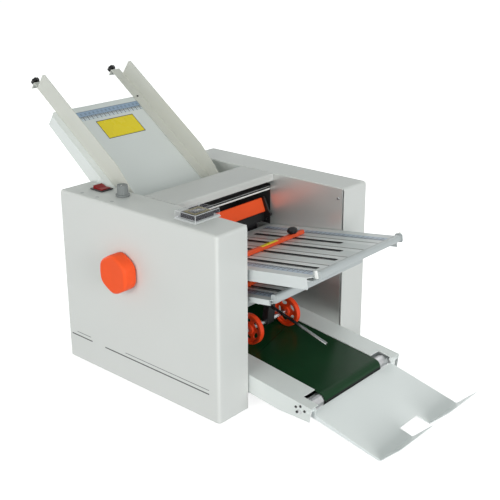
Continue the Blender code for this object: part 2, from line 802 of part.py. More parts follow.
def make_side_plates():
    shafts = [(centre, JOURNAL_RADIUS) for centre in roller_centres()]
    shafts.append((feed_centre(), JOURNAL_RADIUS))
    shafts.append((drive_roller_centre(), JOURNAL_RADIUS))
    make_side_plate("right_side_plate", False, shafts)
    shafts.append(((MOTOR_X, MOTOR_Z), JOURNAL_RADIUS))
    make_side_plate("left_side_plate", True, shafts)


def make_base_plate():
    """Floor plate. Its middle stops short of the front, under the conveyor."""
    edge = HALF_WIDTH - SHEET - GAP
    corner = HOUSING_EDGE
    rear = SHEET + GAP
    front = HOUSING_LENGTH - SHEET - GAP
    middle_front = HOUSING_LENGTH - BASE_MIDDLE_SETBACK
    outline = [
        (rear + corner, -edge),
        (front - corner, -edge),
        (front, corner - edge),
        (front, -CHANNEL_HALF),
        (middle_front, -CHANNEL_HALF),
        (middle_front, CHANNEL_HALF),
        (front, CHANNEL_HALF),
        (front, edge - corner),
        (front - corner, edge),
        (rear + corner, edge),
        (rear, edge - corner),
        (rear, corner - edge),
    ]
    middle = (0, 0, BASE_BOTTOM + BASE_SHEET / 2)
    add_part("base_plate", flat_outline([outline], BASE_SHEET), "white_paint", middle)


def make_feet():
    front = HOUSING_LENGTH - FOOT_INSET
    side = HALF_WIDTH - FOOT_SIDE_INSET
    for end, x in (("front", front), ("rear", FOOT_INSET)):
        for hand, y in (("left", -side), ("right", side)):
            foot = cylinder(FOOT_RADIUS - FOOT_TAPER, FOOT_HEIGHT, ROUND_STEPS, FOOT_RADIUS)
            add_part("foot_" + end + "_" + hand, foot, "black_rubber", (x, y, FOOT_HEIGHT / 2))


def make_top_cover():
    """Removable sheet lid over the rollers, with a lip at its front and rear."""
    front = COVER_REAR + COVER_LENGTH
    low = HOUSING_TOP - COVER_LIP
    path = [(COVER_REAR, low), (COVER_REAR, HOUSING_TOP), (front, HOUSING_TOP), (front, low)]
    outline = ribbon(rounded(path, COVER_BEND, closed=False), SHEET)
    add_part("top_cover", flat_outline([outline], 2 * CLOSE_FIT), "white_paint", turn=SIDE_VIEW)


def make_cover_bar():
    size = (COVER_BAR_DEPTH, 2 * CLOSE_FIT, COVER_BAR_HEIGHT)
    centre = (COVER_BAR_X, 0, HOUSING_TOP - COVER_BAR_DROP - COVER_BAR_HEIGHT / 2)
    add_part("cover_bar", box(size, edge=COVER_BAR_EDGE), "aluminium", centre)


def make_guard():
    """Orange finger guard in front of the rollers, between black end brackets on a strip."""
    plate = box((GUARD_THICKNESS, GUARD_WIDTH, GUARD_HEIGHT), edge=GUARD_EDGE)
    add_part("guard_plate", plate, "orange_plastic", (GUARD_X, 0, GUARD_Z), (0, -GUARD_LEAN, 0))
    bracket_inner = GUARD_WIDTH / 2 + GAP
    width = 2 * (bracket_inner + GUARD_BRACKET_SHEET - STEP)
    strip = box((GUARD_STRIP_SHEET, width, GUARD_STRIP_HEIGHT))
    low = (GUARD_X + GUARD_STRIP_SHEET / 2, 0, GUARD_STRIP_Z + GUARD_STRIP_HEIGHT / 2)
    frame = add_part("guard_frame", strip, "black_plastic", low)
    half = GUARD_HEIGHT / 2 + GUARD_THICKNESS
    tip = (GUARD_X - half * math.sin(GUARD_LEAN), GUARD_Z + half * math.cos(GUARD_LEAN))
    heel = (GUARD_X + half * math.sin(GUARD_LEAN), GUARD_Z - half * math.cos(GUARD_LEAN))
    side = 2 * GUARD_THICKNESS
    outline = [
        (tip[0] - GUARD_THICKNESS, tip[1]),
        (heel[0] - side, heel[1]),
        (GUARD_X - GUARD_THICKNESS, GUARD_STRIP_Z + STEP),
        (GUARD_X + side, GUARD_STRIP_Z + STEP),
        (GUARD_X + side, GUARD_STRIP_Z + GUARD_FOOT_HEIGHT),
        (GUARD_X + GUARD_BRACKET_REACH, GUARD_STRIP_Z + GUARD_STRIP_HEIGHT - GUARD_FOOT_HEIGHT),
        (GUARD_X + GUARD_BRACKET_REACH, GUARD_STRIP_Z + GUARD_STRIP_HEIGHT),
        (heel[0] + side, heel[1] + side),
        (tip[0] + side, tip[1]),
    ]
    for hand in (-1, 1):
        middle = hand * (bracket_inner + GUARD_BRACKET_SHEET / 2)
        bracket = flat_outline([outline], GUARD_BRACKET_SHEET)
        join(frame, add_guide("guard_bracket", bracket, (0, middle, 0), SIDE_VIEW))
        inner = bracket_inner + GUARD_BRACKET_SHEET / 2
        boss = cylinder(GUARD_BOSS_RADIUS, CLOSE_FIT - inner)
        place = (GUARD_X, hand * (CLOSE_FIT + inner) / 2, GUARD_STRIP_Z + GUARD_STRIP_HEIGHT / 2)
        join(frame, add_guide("guard_boss", boss, place, SIDE_VIEW))


# Feed tray, guides and separator
def make_feed_tray(tray_axes):
    """Sloping sheet with side flanges that deepen downwards, and a window for the pad."""
    half = TRAY_WIDTH / 2
    flange_full = TRAY_LENGTH - TRAY_FLANGE_FULL
    bm = bmesh.new()
    bmesh.ops.create_cube(bm, size=1)
    bmesh.ops.scale(bm, vec=(TRAY_LENGTH - TRAY_CORNER, TRAY_WIDTH, TRAY_FLANGE_DEPTH), verts=bm.verts)
    centre = ((TRAY_LENGTH + TRAY_CORNER) / 2, 0, -TRAY_FLANGE_DEPTH / 2)
    bmesh.ops.translate(bm, vec=centre, verts=bm.verts)
    open_faces = [f for f in bm.faces if abs(f.normal.x) > 1 / 2 or f.normal.z < 0]
    bmesh.ops.delete(bm, geom=open_faces, context="FACES")
    plane = {"plane_co": (flange_full, 0, 0), "plane_no": (1, 0, 0)}
    bmesh.ops.bisect_plane(bm, geom=bm.verts[:] + bm.edges[:] + bm.faces[:], **plane)
    for vert in bm.verts:
        if vert.co.z < -TRAY_FLANGE_DEPTH / 2 and vert.co.x < flange_full / 2:
            vert.co.z = -TRAY_FLANGE_TOP
    top_edge = [e for e in bm.edges if all(v.co.x < flange_full / 2 and v.co.z > -WELD for v in e.verts)]
    head = bmesh.ops.extrude_edge_only(bm, edges=top_edge)["geom"]
    head_verts = [v for v in head if isinstance(v, bmesh.types.BMVert)]
    for vert in head_verts:
        vert.co.x = 0
        vert.co.y = math.copysign(half - TRAY_CORNER, vert.co.y)
    bmesh.ops.recalc_face_normals(bm, faces=bm.faces)
    if sum(f.normal.z for f in bm.faces) < 0:
        bmesh.ops.reverse_faces(bm, faces=bm.faces)
    tray = add_part("feed_tray", mesh_from(bm), "white_paint", parent=tray_axes)
    add_thickness(tray, SHEET)
    for hand in (-1, 1):
        for run in TRAY_STUDS:
            inner = half - SHEET / 2
            stud = cylinder(STUD_RADIUS, CLOSE_FIT - inner)
            place = (TRAY_LENGTH - run, hand * (CLOSE_FIT + inner) / 2, -STUD_DROP)
            join(tray, add_guide("tray_stud", stud, place, SIDE_VIEW, tray_axes))
    window = box((PAD_LENGTH + 2 * GAP, PAD_WIDTH + 2 * GAP, 2 * (SHEET + OVERRUN)))
    cut(tray, add_guide("pad_window", window, (FEED_CONTACT, 0, 0), parent=tray_axes))


def make_separator_pad(tray_axes):
    size = (PAD_LENGTH, PAD_WIDTH, PAD_THICKNESS)
    place = (FEED_CONTACT, 0, -PAD_THICKNESS / 2)
    add_part("separator_pad", box(size), "black_rubber", place, parent=tray_axes)


def make_guide(tray_axes, hand, name):
    """Paper guide: a wall on a foot flange whose upper end is bent down for the knob."""
    wall_face = GUIDE_SPACING / 2
    wall = [
        (-GUIDE_ABOVE_TRAY, GAP),
        (GUIDE_END, GAP),
        (GUIDE_END, GUIDE_END_HEIGHT),
        (GUIDE_END - GUIDE_SLOPE_RUN, GUIDE_HEIGHT),
        (GUIDE_TIP_CORNER - GUIDE_ABOVE_TRAY, GUIDE_HEIGHT),
        (-GUIDE_ABOVE_TRAY, GUIDE_HEIGHT - GUIDE_TIP_CORNER),
    ]
    middle = hand * (wall_face + SHEET / 2)
    guide = add_part(name, flat_outline([wall], SHEET), "white_paint", (0, middle, 0), SIDE_VIEW, tray_axes)
    foot_path = [
        (-GUIDE_TAB_AT, GAP + SHEET - GUIDE_TAB_DEPTH),
        (-GUIDE_TAB_AT, GAP + SHEET + STEP),
        (GUIDE_END - STEP, GAP + SHEET + STEP),
    ]
    foot = flat_outline([ribbon(foot_path, SHEET)], GUIDE_FLANGE)
    place = (0, hand * (wall_face + SHEET / 2 - GUIDE_FLANGE / 2), 0)
    join(guide, add_guide("guide_foot", foot, place, SIDE_VIEW, tray_axes))
    hole = cylinder(GUIDE_SCREW_RADIUS + GAP, 2 * (SHEET + OVERRUN))
    place = guide_knob_place(hand)
    cut(guide, add_guide("guide_screw_hole", hole, place, (0, math.pi / 2, 0), tray_axes))


def guide_knob_place(hand):
    """Where the knob's axis meets the outer face of the tab, in the tray's own axes."""
    across = GUIDE_SPACING / 2 - GUIDE_FLANGE / 2
    return (-GUIDE_TAB_AT, hand * across, -GUIDE_KNOB_DROP)


def make_guide_knob(tray_axes, hand, name):
    """Lobed thumb screw. Its own Z points down the slope, through the tab."""
    grip = lobed(GUIDE_KNOB_RADIUS, GUIDE_KNOB_LOBE_DEPTH, GUIDE_KNOB_LOBES, GUIDE_KNOB_LOBE_STEPS)
    sections = [
        (GUIDE_SCREW_RADIUS, GUIDE_SCREW_LENGTH),
        (GUIDE_HUB_RADIUS, GUIDE_HUB_LENGTH + GUIDE_KNOB_LENGTH / 2),
    ]
    stem = turned(stepped(sections, GUIDE_SCREW_LENGTH - GAP), SMALL_STEPS)
    place = guide_knob_place(hand)
    turn = (0, math.pi / 2, 0)
    knob = add_part(name, stem, "black_plastic", place, turn, tray_axes)
    shift = GAP + GUIDE_HUB_LENGTH + GUIDE_KNOB_LENGTH / 2
    cap = add_guide("guide_knob_grip", flat_outline([grip], GUIDE_KNOB_LENGTH), (0, 0, -shift), parent=knob)
    join(knob, cap)


def make_feed_roller():
    """Feed shaft with its rubber wheel in the middle and a belt pulley at its left end."""
    half_wheel = FEED_WHEEL_WIDTH / 2
    sections = [
        (JOURNAL_RADIUS, JOURNAL_STUB),
        *pulley_sections(PULLEY_RADIUS),
        (JOURNAL_RADIUS, PULLEY_INNER - half_wheel),
        (FEED_WHEEL_RADIUS, FEED_WHEEL_WIDTH),
        (JOURNAL_RADIUS, SIDE_PLATE_OUTER + JOURNAL_STUB - half_wheel),
    ]
    mesh = turned(stepped(sections, PULLEY_OUTER + JOURNAL_STUB))
    add_part("feed_roller", mesh, "roller_rubber", in_side_view(feed_centre()), SIDE_VIEW)


# Fold rollers, gears, pulleys and belts
def pulley_sections(radius):
    """A flanged pulley's (radius, length) steps."""
    rim = radius + PULLEY_RIM
    return [(rim, PULLEY_WALL), (radius, PULLEY_WIDTH - 2 * PULLEY_WALL), (rim, PULLEY_WALL)]


def make_fold_rollers():
    for number, centre in enumerate(roller_centres(), start=1):
        left_end = GEAR_OUTER + JOURNAL_STUB
        if number in (1, 4):
            left_end = PULLEY_OUTER + JOURNAL_STUB
        if number == 2:
            left_end = HALF_WIDTH + RUN_GAP + HAND_KNOB_BORE_DEPTH
        sections = [
            (JOURNAL_RADIUS, left_end - ROLLER_HALF),
            (ROLLER_RADIUS, 2 * ROLLER_HALF),
            (JOURNAL_RADIUS, SIDE_PLATE_OUTER + JOURNAL_STUB - ROLLER_HALF),
        ]
        mesh = turned(stepped(sections, left_end))
        add_part("fold_roller_" + str(number), mesh, "roller_rubber", in_side_view(centre), SIDE_VIEW)


def involute_tooth(pitch_radius, module):
    """One tooth's outline on the +X axis: root, flank, tip, flank, root."""
    base = pitch_radius * math.cos(PRESSURE_ANGLE)
    tip = pitch_radius + ADDENDUM_SHARE * module
    root = pitch_radius - DEDENDUM_SHARE * module
    half_tooth = (math.pi * module / 2 - GEAR_BACKLASH) / 2 / pitch_radius
    at_pitch = math.tan(PRESSURE_ANGLE) - PRESSURE_ANGLE

    def flank_angle(radius):
        pressure = math.acos(min(1, base / radius))
        return half_tooth + at_pitch - (math.tan(pressure) - pressure)

    sides = [(root, flank_angle(base)), (pitch_radius, flank_angle(pitch_radius)), (tip, flank_angle(tip))]
    lower = [(radius, -angle) for radius, angle in sides]
    upper = [(radius, angle) for radius, angle in reversed(sides)]
    return lower + upper


def gear_outline(pitch_radius, teeth, phase):
    module = 2 * pitch_radius / teeth
    tooth = involute_tooth(pitch_radius, module)
    points = []
    for i in range(teeth):
        turn = phase + 2 * math.pi * i / teeth
        points += [polar((0, 0), radius, angle + turn) for radius, angle in tooth]
    return points


def gear_phases(centres):
    """Turns each gear so that its teeth stand in the gaps of the gear before it."""
    pitch = 2 * math.pi / GEAR_TEETH
    phases = [0]
    for here, ahead in zip(centres, centres[1:]):
        direction = math.atan2(ahead[1] - here[1], ahead[0] - here[0])
        phases.append(pitch / 2 - phases[-1] + 2 * direction + math.pi)
    return phases


def make_roller_gears():
    """Six equal spur gears in one train. The first and fourth carry a belt pulley."""
    centres = roller_centres()
    for number, (centre, phase) in enumerate(zip(centres, gear_phases(centres)), start=1):
        outline = gear_outline(ROLLER_SPACING / 2, GEAR_TEETH, phase)
        gear_middle = (GEAR_INNER + GEAR_OUTER) / 2
        place = in_side_view(centre, gear_middle)
        name = "roller_gear_" + str(number)
        if number not in (1, 4):
            loops = [outline, circle(JOURNAL_HOLE)]
            add_part(name, flat_outline(loops, GEAR_WIDTH), "white_nylon", place, SIDE_VIEW)
            continue
        gear = add_part(name, flat_outline([outline], GEAR_WIDTH), "white_nylon", place, SIDE_VIEW)
        hub = ROLLER_RADIUS / 2
        sections = [*pulley_sections(PULLEY_RADIUS), (hub, PULLEY_OFFSET + GEAR_WIDTH / 2)]
        pulley = turned(stepped(sections, PULLEY_OUTER - gear_middle), SMALL_STEPS)
        join(gear, add_guide("gear_pulley", pulley, parent=gear))
        bore = cylinder(JOURNAL_HOLE, 2 * (PULLEY_OUTER - GEAR_INNER + OVERRUN))
        cut(gear, add_guide("gear_bore", bore, parent=gear))


def make_hand_knob():
    """Orange hand knob with round lobes, on the long shaft of the second fold roller."""
    outline = lobed(HAND_KNOB_RADIUS, HAND_KNOB_LOBE_DEPTH, HAND_KNOB_LOBES, HAND_KNOB_LOBE_STEPS)
    base = HALF_WIDTH + RUN_GAP
    sections = [(HAND_KNOB_COLLAR_RADIUS, HAND_KNOB_COLLAR + HAND_KNOB_THICKNESS / 2)]
    collar = turned(stepped(sections, base + HAND_KNOB_COLLAR + HAND_KNOB_THICKNESS / 2))
    knob = add_part("hand_knob", collar, "orange_plastic", in_side_view(roller_centres()[1]), SIDE_VIEW)
    bm = bmesh.new()
    bm.from_mesh(flat_outline([outline], HAND_KNOB_THICKNESS))
    bmesh.ops.dissolve_limit(bm, angle_limit=WELD, verts=bm.verts, edges=bm.edges)
    rim = [e for e in bm.edges if e.calc_face_angle() > 1]
    bmesh.ops.bevel(bm, geom=rim, offset=HAND_KNOB_EDGE, segments=2, affect="EDGES", profile=0.5)
    grip = mesh_from(bm)
    middle = base + HAND_KNOB_COLLAR + HAND_KNOB_THICKNESS / 2
    join(knob, add_guide("hand_knob_grip", grip, (0, 0, middle), parent=knob))
    bore_end = base + HAND_KNOB_BORE_DEPTH + GAP
    bore = cylinder(JOURNAL_HOLE, HAND_KNOB_BORE_DEPTH + GAP + OVERRUN)
    depth = bore_end - (HAND_KNOB_BORE_DEPTH + GAP + OVERRUN) / 2
    cut(knob, add_guide("hand_knob_bore", bore, (0, 0, depth), parent=knob))


def make_motor():
    """Motor can on a foot, with a blind bore for its pulley's shaft."""
    front = CHANNEL_HALF - MOTOR_END_GAP
    sections = [(MOTOR_NOSE_RADIUS, MOTOR_NOSE), (MOTOR_RADIUS, MOTOR_LENGTH)]
    centre = (MOTOR_X, MOTOR_Z)
    motor = add_part("motor", turned(stepped(sections, front)), "dark_metal", in_side_view(centre), SIDE_VIEW)
    foot_height = MOTOR_Z - MOTOR_RADIUS * 3 / 4 - BASE_TOP - GAP
    size = (MOTOR_FOOT_LENGTH, foot_height, MOTOR_FOOT_WIDTH)
    place = (0, BASE_TOP + GAP + foot_height / 2 - MOTOR_Z, front - MOTOR_NOSE - MOTOR_LENGTH / 2)
    join(motor, add_guide("motor_foot", box(size), place, parent=motor))
    bore = cylinder(JOURNAL_HOLE, 2 * MOTOR_BORE_DEPTH)
    cut(motor, add_guide("motor_bore", bore, (0, 0, front), parent=motor))


def make_motor_pulley():
    inner = CHANNEL_HALF - MOTOR_END_GAP - MOTOR_BORE_DEPTH + GAP
    sections = [*pulley_sections(MOTOR_PULLEY_RADIUS), (JOURNAL_RADIUS, PULLEY_INNER - inner)]
    mesh = turned(stepped(sections, PULLEY_OUTER), SMALL_STEPS)
    add_part("motor_pulley", mesh, "aluminium", in_side_view((MOTOR_X, MOTOR_Z)), SIDE_VIEW)


def belt_loop(name, pulleys):
    """A flat belt round pulleys given as (centre, radius)."""
    outline = around(pulleys, GAP + BELT_THICKNESS)
    opening = around(pulleys, GAP)
    width = PULLEY_WIDTH - 2 * PULLEY_WALL - 2 * BELT_SIDE_GAP
    middle = (PULLEY_INNER + PULLEY_OUTER) / 2
    add_part(name, flat_outline([outline, opening], width), "black_rubber", (0, -middle, 0), SIDE_VIEW)


def make_belts():
    centres = roller_centres()
    motor = ((MOTOR_X, MOTOR_Z), MOTOR_PULLEY_RADIUS)
    belt_loop("drive_belt", [motor, (centres[3], PULLEY_RADIUS), (drive_roller_centre(), PULLEY_RADIUS)])
    belt_loop("feed_belt", [(centres[0], PULLEY_RADIUS), (feed_centre(), PULLEY_RADIUS)])


# Fold plates and stops
def slot_places(length, end_shares):
    """Each slot's place across the plate and the place of its far end along it."""
    across = [share * GUIDE_SPACING / 2 for share in SLOT_PLACE_SHARES]
    return [(y, length * share) for y, share in zip(across, end_shares)]


def bar_section(depth, height):
    """Rounded section of the bar that closes a fold plate."""
    return rounded(rectangle(-depth / 2, -height / 2, depth / 2, height / 2), BAR_EDGE, BAR_EDGE_STEPS)


def make_fold_plate(name, axes, length, side_space, corner, rail_depth, flare, bar_size, slots):
    """A pocket for the paper: two sheets between side rails, closed by a bar at its far end."""
    width = CHANNEL_WIDTH - 2 * side_space
    half = width / 2
    bar_width = width - 2 * corner
    outline = [
        (0, -half),
        (length - corner, -half),
        (length, -bar_width / 2),
        (length, bar_width / 2),
        (length - corner, half),
        (0, half),
    ]
    top_sheet = flat_outline([outline], PLATE_SHEET)
    plate = add_part(name, top_sheet, "white_plate", (0, 0, -PLATE_SHEET / 2), parent=axes)
    low = PLATE_SHEET + POCKET_GAP
    run, drop = flare
    floor_path = [(-run, -low - drop), (0, -low), (length - STEP, -low)]
    floor = flat_outline([ribbon(floor_path, PLATE_SHEET)], width - PLATE_RAIL_SHEET)
    join(plate, add_guide("plate_floor", floor, turn=SIDE_VIEW, parent=axes))
    pocket_depth = low + PLATE_SHEET
    for across, end in slots:
        size = (end - SLOT_START, SLOT_WIDTH, pocket_depth + 2 * OVERRUN)
        place = ((SLOT_START + end) / 2, across, -pocket_depth / 2)
        cut(plate, add_guide("plate_slot", box(size), place, parent=axes))
    rail_end = length - corner + STEP
    rail_size = (rail_end - RAIL_START, PLATE_RAIL_SHEET, rail_depth)
    for hand in (-1, 1):
        across = hand * (half + STEP - PLATE_RAIL_SHEET / 2)
        place = ((rail_end + RAIL_START) / 2, across, STEP - rail_depth / 2)
        join(plate, add_guide("plate_rail", box(rail_size), place, parent=axes))
        for at in PLATE_STUDS:
            inner = half - PLATE_RAIL_SHEET / 2
            stud = cylinder(STUD_RADIUS, CLOSE_FIT - inner)
            place = (at, hand * (CLOSE_FIT + inner) / 2, -rail_depth / 2)
            join(plate, add_guide("plate_stud", stud, place, SIDE_VIEW, axes))
    depth, height, cap_rim = bar_size
    bar = flat_outline([bar_section(depth, height)], bar_width)
    join(plate, add_guide("plate_bar", bar, (length, 0, BAR_RISE), SIDE_VIEW, axes))
    if cap_rim:
        for hand in (-1, 1):
            cap = flat_outline([bar_section(depth + 2 * cap_rim, height + 2 * cap_rim)], BAR_CAP_SHEET)
            across = hand * (bar_width / 2 + BAR_CAP_SHEET / 2 - STEP)
            join(plate, add_guide("bar_cap", cap, (length, across, BAR_RISE), SIDE_VIEW, axes))


def make_stop(name, axes, at, slots):
    """Stop bar across a fold plate, with fingers through the slots and a clamping knob."""
    low = STOP_BAR_RISE
    knob_y = slots[0][0]
    left = STOP_BAR_SIDE_SPACE - CHANNEL_HALF
    right = knob_y + STOP_BAR_PAST_KNOB
    place = (at, (left + right) / 2, low + STOP_BAR_HEIGHT / 2)
    mesh = box((STOP_BAR_SIZE, right - left, STOP_BAR_HEIGHT), edge=STOP_BAR_EDGE)
    bar = add_part(name + "_bar", mesh, "orange_plastic", place, parent=axes)
    finger_low = -(PLATE_SHEET + POCKET_GAP - GAP)
    finger_high = low + STOP_BAR_HEIGHT / 2
    for y, _ in slots[1:]:
        finger = box((STOP_BAR_SIZE / 2, STOP_FINGER_WIDTH, finger_high - finger_low))
        middle = (at, y, (finger_high + finger_low) / 2)
        join(bar, add_guide("stop_finger", finger, middle, parent=axes))
    hole = cylinder(STOP_SCREW_RADIUS + GAP, 2 * (STOP_BAR_HEIGHT + OVERRUN))
    cut(bar, add_guide("stop_screw_hole", hole, (at, knob_y, low), parent=axes))
    top = low + STOP_BAR_HEIGHT + GAP
    dome = STOP_KNOB_HEIGHT / 2
    profile = [(0, STOP_KNOB_HEIGHT)]
    for step in range(1, CORNER_STEPS + 1):
        angle = math.pi / 2 * (1 - step / CORNER_STEPS)
        profile.append((STOP_KNOB_RADIUS * math.cos(angle), dome + dome * math.sin(angle)))
    profile += [(STOP_KNOB_RADIUS, dome / 2), (STOP_KNOB_RADIUS * 3 / 4, 0), (STOP_SCREW_RADIUS, 0)]
    profile += [(STOP_SCREW_RADIUS, finger_low - top), (0, finger_low - top)]
    add_part(name + "_knob", turned(profile), "black_plastic", (at, knob_y, top), parent=axes)


# Delivery conveyor and stacker
def make_conveyor_frame(axes):
    """Two side rails with inward flanges, tied by the bed that the belt slides on."""
    wall_outer = CLOSE_FIT
    pivot_rise = -STACKER_PIVOT_DROP
    outline = [
        (0, 0),
        (RAIL_FRONT, 0),
        (RAIL_FRONT, -RAIL_FRONT_DEPTH),
        (RAIL_KNEE, -RAIL_DEPTH),
        (0, -RAIL_DEPTH),
    ]
    rise = belt_roller_rise()
    holes = [
        circle(JOURNAL_HOLE, SMALL_STEPS, (DRIVE_ROLLER_AT, rise)),
        circle(JOURNAL_HOLE, SMALL_STEPS, (END_ROLLER_AT, rise)),
        circle(PIVOT_PIN_RADIUS + GAP, SMALL_STEPS, (STACKER_PIVOT_AT, pivot_rise)),
    ]
    bed_from = DRIVE_ROLLER_AT + BED_MARGIN
    bed_to = END_ROLLER_AT - BED_MARGIN
    bed_top = -(CONVEYOR_BELT_DROP + CONVEYOR_BELT_SHEET + GAP)
    bed = box((bed_to - bed_from, 2 * wall_outer - SHEET, SHEET))
    place = ((bed_from + bed_to) / 2, 0, bed_top - SHEET / 2)
    frame = add_part("conveyor_frame", bed, "white_paint", place, parent=axes)
    for hand in (-1, 1):
        middle = hand * (wall_outer - SHEET / 2)
        wall = flat_outline([outline] + holes, SHEET)
        join(frame, add_guide("rail_wall", wall, (0, middle, 0), SIDE_VIEW, axes))
        inner = CONVEYOR_BELT_WIDTH / 2 + BELT_SIDE_CLEARANCE + hand * CONVEYOR_OFFSET
        outer = wall_outer - SHEET / 2
        strip = wall_outer - RAIL_STRIP
        flange = [
            (STEP, hand * outer),
            (RAIL_FRONT - STEP, hand * outer),
            (RAIL_FRONT - STEP, hand * strip),
            (RAIL_NOTCH, hand * strip),
            (RAIL_NOTCH, hand * inner),
            (STEP, hand * inner),
        ]
        place = (0, 0, -STEP - SHEET / 2)
        join(frame, add_guide("rail_flange", flat_outline([flange], SHEET), place, parent=axes))


def belt_half_span():
    """The belt's left and right edges, measured towards the left side."""
    half = CONVEYOR_BELT_WIDTH / 2
    return half - CONVEYOR_OFFSET, half + CONVEYOR_OFFSET


def make_conveyor_belt(axes):
    rise = belt_roller_rise()
    rollers = [((DRIVE_ROLLER_AT, rise), BELT_ROLLER_RADIUS), ((END_ROLLER_AT, rise), BELT_ROLLER_RADIUS)]
    outline = around(rollers, GAP + CONVEYOR_BELT_SHEET, BELT_SEAM_STEPS)
    opening = around(rollers, GAP, BELT_SEAM_STEPS)
    mesh = flat_outline([outline, opening], CONVEYOR_BELT_WIDTH)
    add_part("conveyor_belt", mesh, "green_belt", (0, CONVEYOR_OFFSET, 0), SIDE_VIEW, axes)


def make_belt_rollers(axes):
    left, right = belt_half_span()
    inner_wall = CLOSE_FIT - SHEET - RUN_GAP
    sections = [
        *pulley_sections(PULLEY_RADIUS),
        (JOURNAL_RADIUS, PULLEY_INNER - inner_wall),
        (BELT_ROLLER_RADIUS, 2 * inner_wall),
        (JOURNAL_RADIUS, SIDE_PLATE_OUTER + JOURNAL_STUB - inner_wall),
    ]
    mesh = turned(stepped(sections, PULLEY_OUTER))
    add_part("belt_drive_roller", mesh, "steel", (DRIVE_ROLLER_AT, 0, belt_roller_rise()), SIDE_VIEW, axes)
    left_end = left + END_ROLLER_OVERHANG
    right_end = right + END_ROLLER_OVERHANG
    sections = [
        (JOURNAL_RADIUS, CLOSE_FIT - left_end),
        (BELT_ROLLER_RADIUS, left_end + right_end),
        (JOURNAL_RADIUS, CLOSE_FIT - right_end),
    ]
    mesh = turned(stepped(sections, CLOSE_FIT))
    add_part("belt_end_roller", mesh, "aluminium", (END_ROLLER_AT, 0, belt_roller_rise()), SIDE_VIEW, axes)


def make_stacker_tray():
    """Catch tray on two pivot pins, with a raised lip on each side of its finger cut-out."""
    lip_end = polar((STACKER_LENGTH, -STACKER_DROP), STACKER_LIP, STACKER_LIP_BEND)
    path = [(-STACKER_START, -STACKER_DROP), (STACKER_LENGTH, -STACKER_DROP), lip_end]
    mesh = flat_outline([ribbon(path, SHEET)], STACKER_WIDTH)
    pivot = in_side_view(stacker_pivot())
    axes = add_empty("stacker_axes", pivot, (0, STACKER_SLOPE, 0), machine)
    tray = add_part("stacker_tray", mesh, "white_paint", turn=SIDE_VIEW, parent=axes)
    reach = STACKER_LIP + OVERRUN
    size = (2 * reach, STACKER_CUT_LEFT + STACKER_CUT_RIGHT, 2 * reach)
    place = (STACKER_CUT_FROM + reach, (STACKER_CUT_RIGHT - STACKER_CUT_LEFT) / 2, 0)
    cut(tray, add_guide("stacker_cut_out", box(size), place, parent=axes))
    low = -STACKER_DROP - SHEET / 2
    flange = [
        (STEP - STACKER_START, low),
        (STEP - STACKER_START, low - STACKER_FLANGE),
        (STACKER_FLANGE_END, low - STACKER_FLANGE_TIP),
        (STACKER_FLANGE_END, low),
    ]
    ear = around([((0, 0), STACKER_EAR_RADIUS), ((STACKER_EAR_RADIUS, low), SHEET / 2)])
    for hand in (-1, 1):
        middle = hand * (STACKER_WIDTH / 2 + STEP - SHEET / 2)
        side = flat_outline([flange], SHEET)
        join(tray, add_guide("stacker_flange", side, (0, middle, 0), SIDE_VIEW, axes))
        middle = hand * (STACKER_WIDTH / 2 + 2 * STEP - SHEET / 2)
        ear_plate = flat_outline([ear], SHEET)
        join(tray, add_guide("stacker_ear", ear_plate, (0, middle, 0), SIDE_VIEW, axes))
        inner = STACKER_WIDTH / 2 - SHEET / 2
        pin = cylinder(PIVOT_PIN_RADIUS, CLOSE_FIT - inner)
        place = (0, hand * (CLOSE_FIT + inner) / 2, 0)
        join(tray, add_guide("stacker_pin", pin, place, SIDE_VIEW, axes))


# Press wheels
def make_exit_guide():
    """Cross sheet that turns the paper down onto the belt and carries the press bracket."""
    path = [
        (EXIT_GUIDE_REAR_X, EXIT_GUIDE_REAR_Z),
        (EXIT_GUIDE_FRONT_X, EXIT_GUIDE_FRONT_Z),
        (EXIT_GUIDE_FRONT_X, EXIT_GUIDE_FRONT_Z - EXIT_GUIDE_LIP),
    ]
    mesh = flat_outline([ribbon(rounded(path, COVER_BEND, closed=False), SHEET)], 2 * CLOSE_FIT)
    guide = add_part("exit_guide", mesh, "white_plate", turn=SIDE_VIEW)
    pivot = (PRESS_PIVOT_X, PRESS_PIVOT_Z)
    root = (EXIT_GUIDE_FRONT_X - SHEET / 2, PRESS_PIVOT_Z)
    lug = around([(pivot, PRESS_ARM_RADIUS), (root, PRESS_PIN_RADIUS)], steps=SMALL_STEPS)
    hole = circle(PRESS_PIN_RADIUS + GAP, SMALL_STEPS, pivot)
    for hand in (-1, 1):
        middle = hand * (PRESS_ARM_WIDTH / 2 + RUN_GAP + EXIT_LUG_SHEET / 2)
        lug_plate = flat_outline([lug, hole], EXIT_LUG_SHEET)
        join(guide, add_guide("press_lug", lug_plate, (0, middle, 0), SIDE_VIEW))


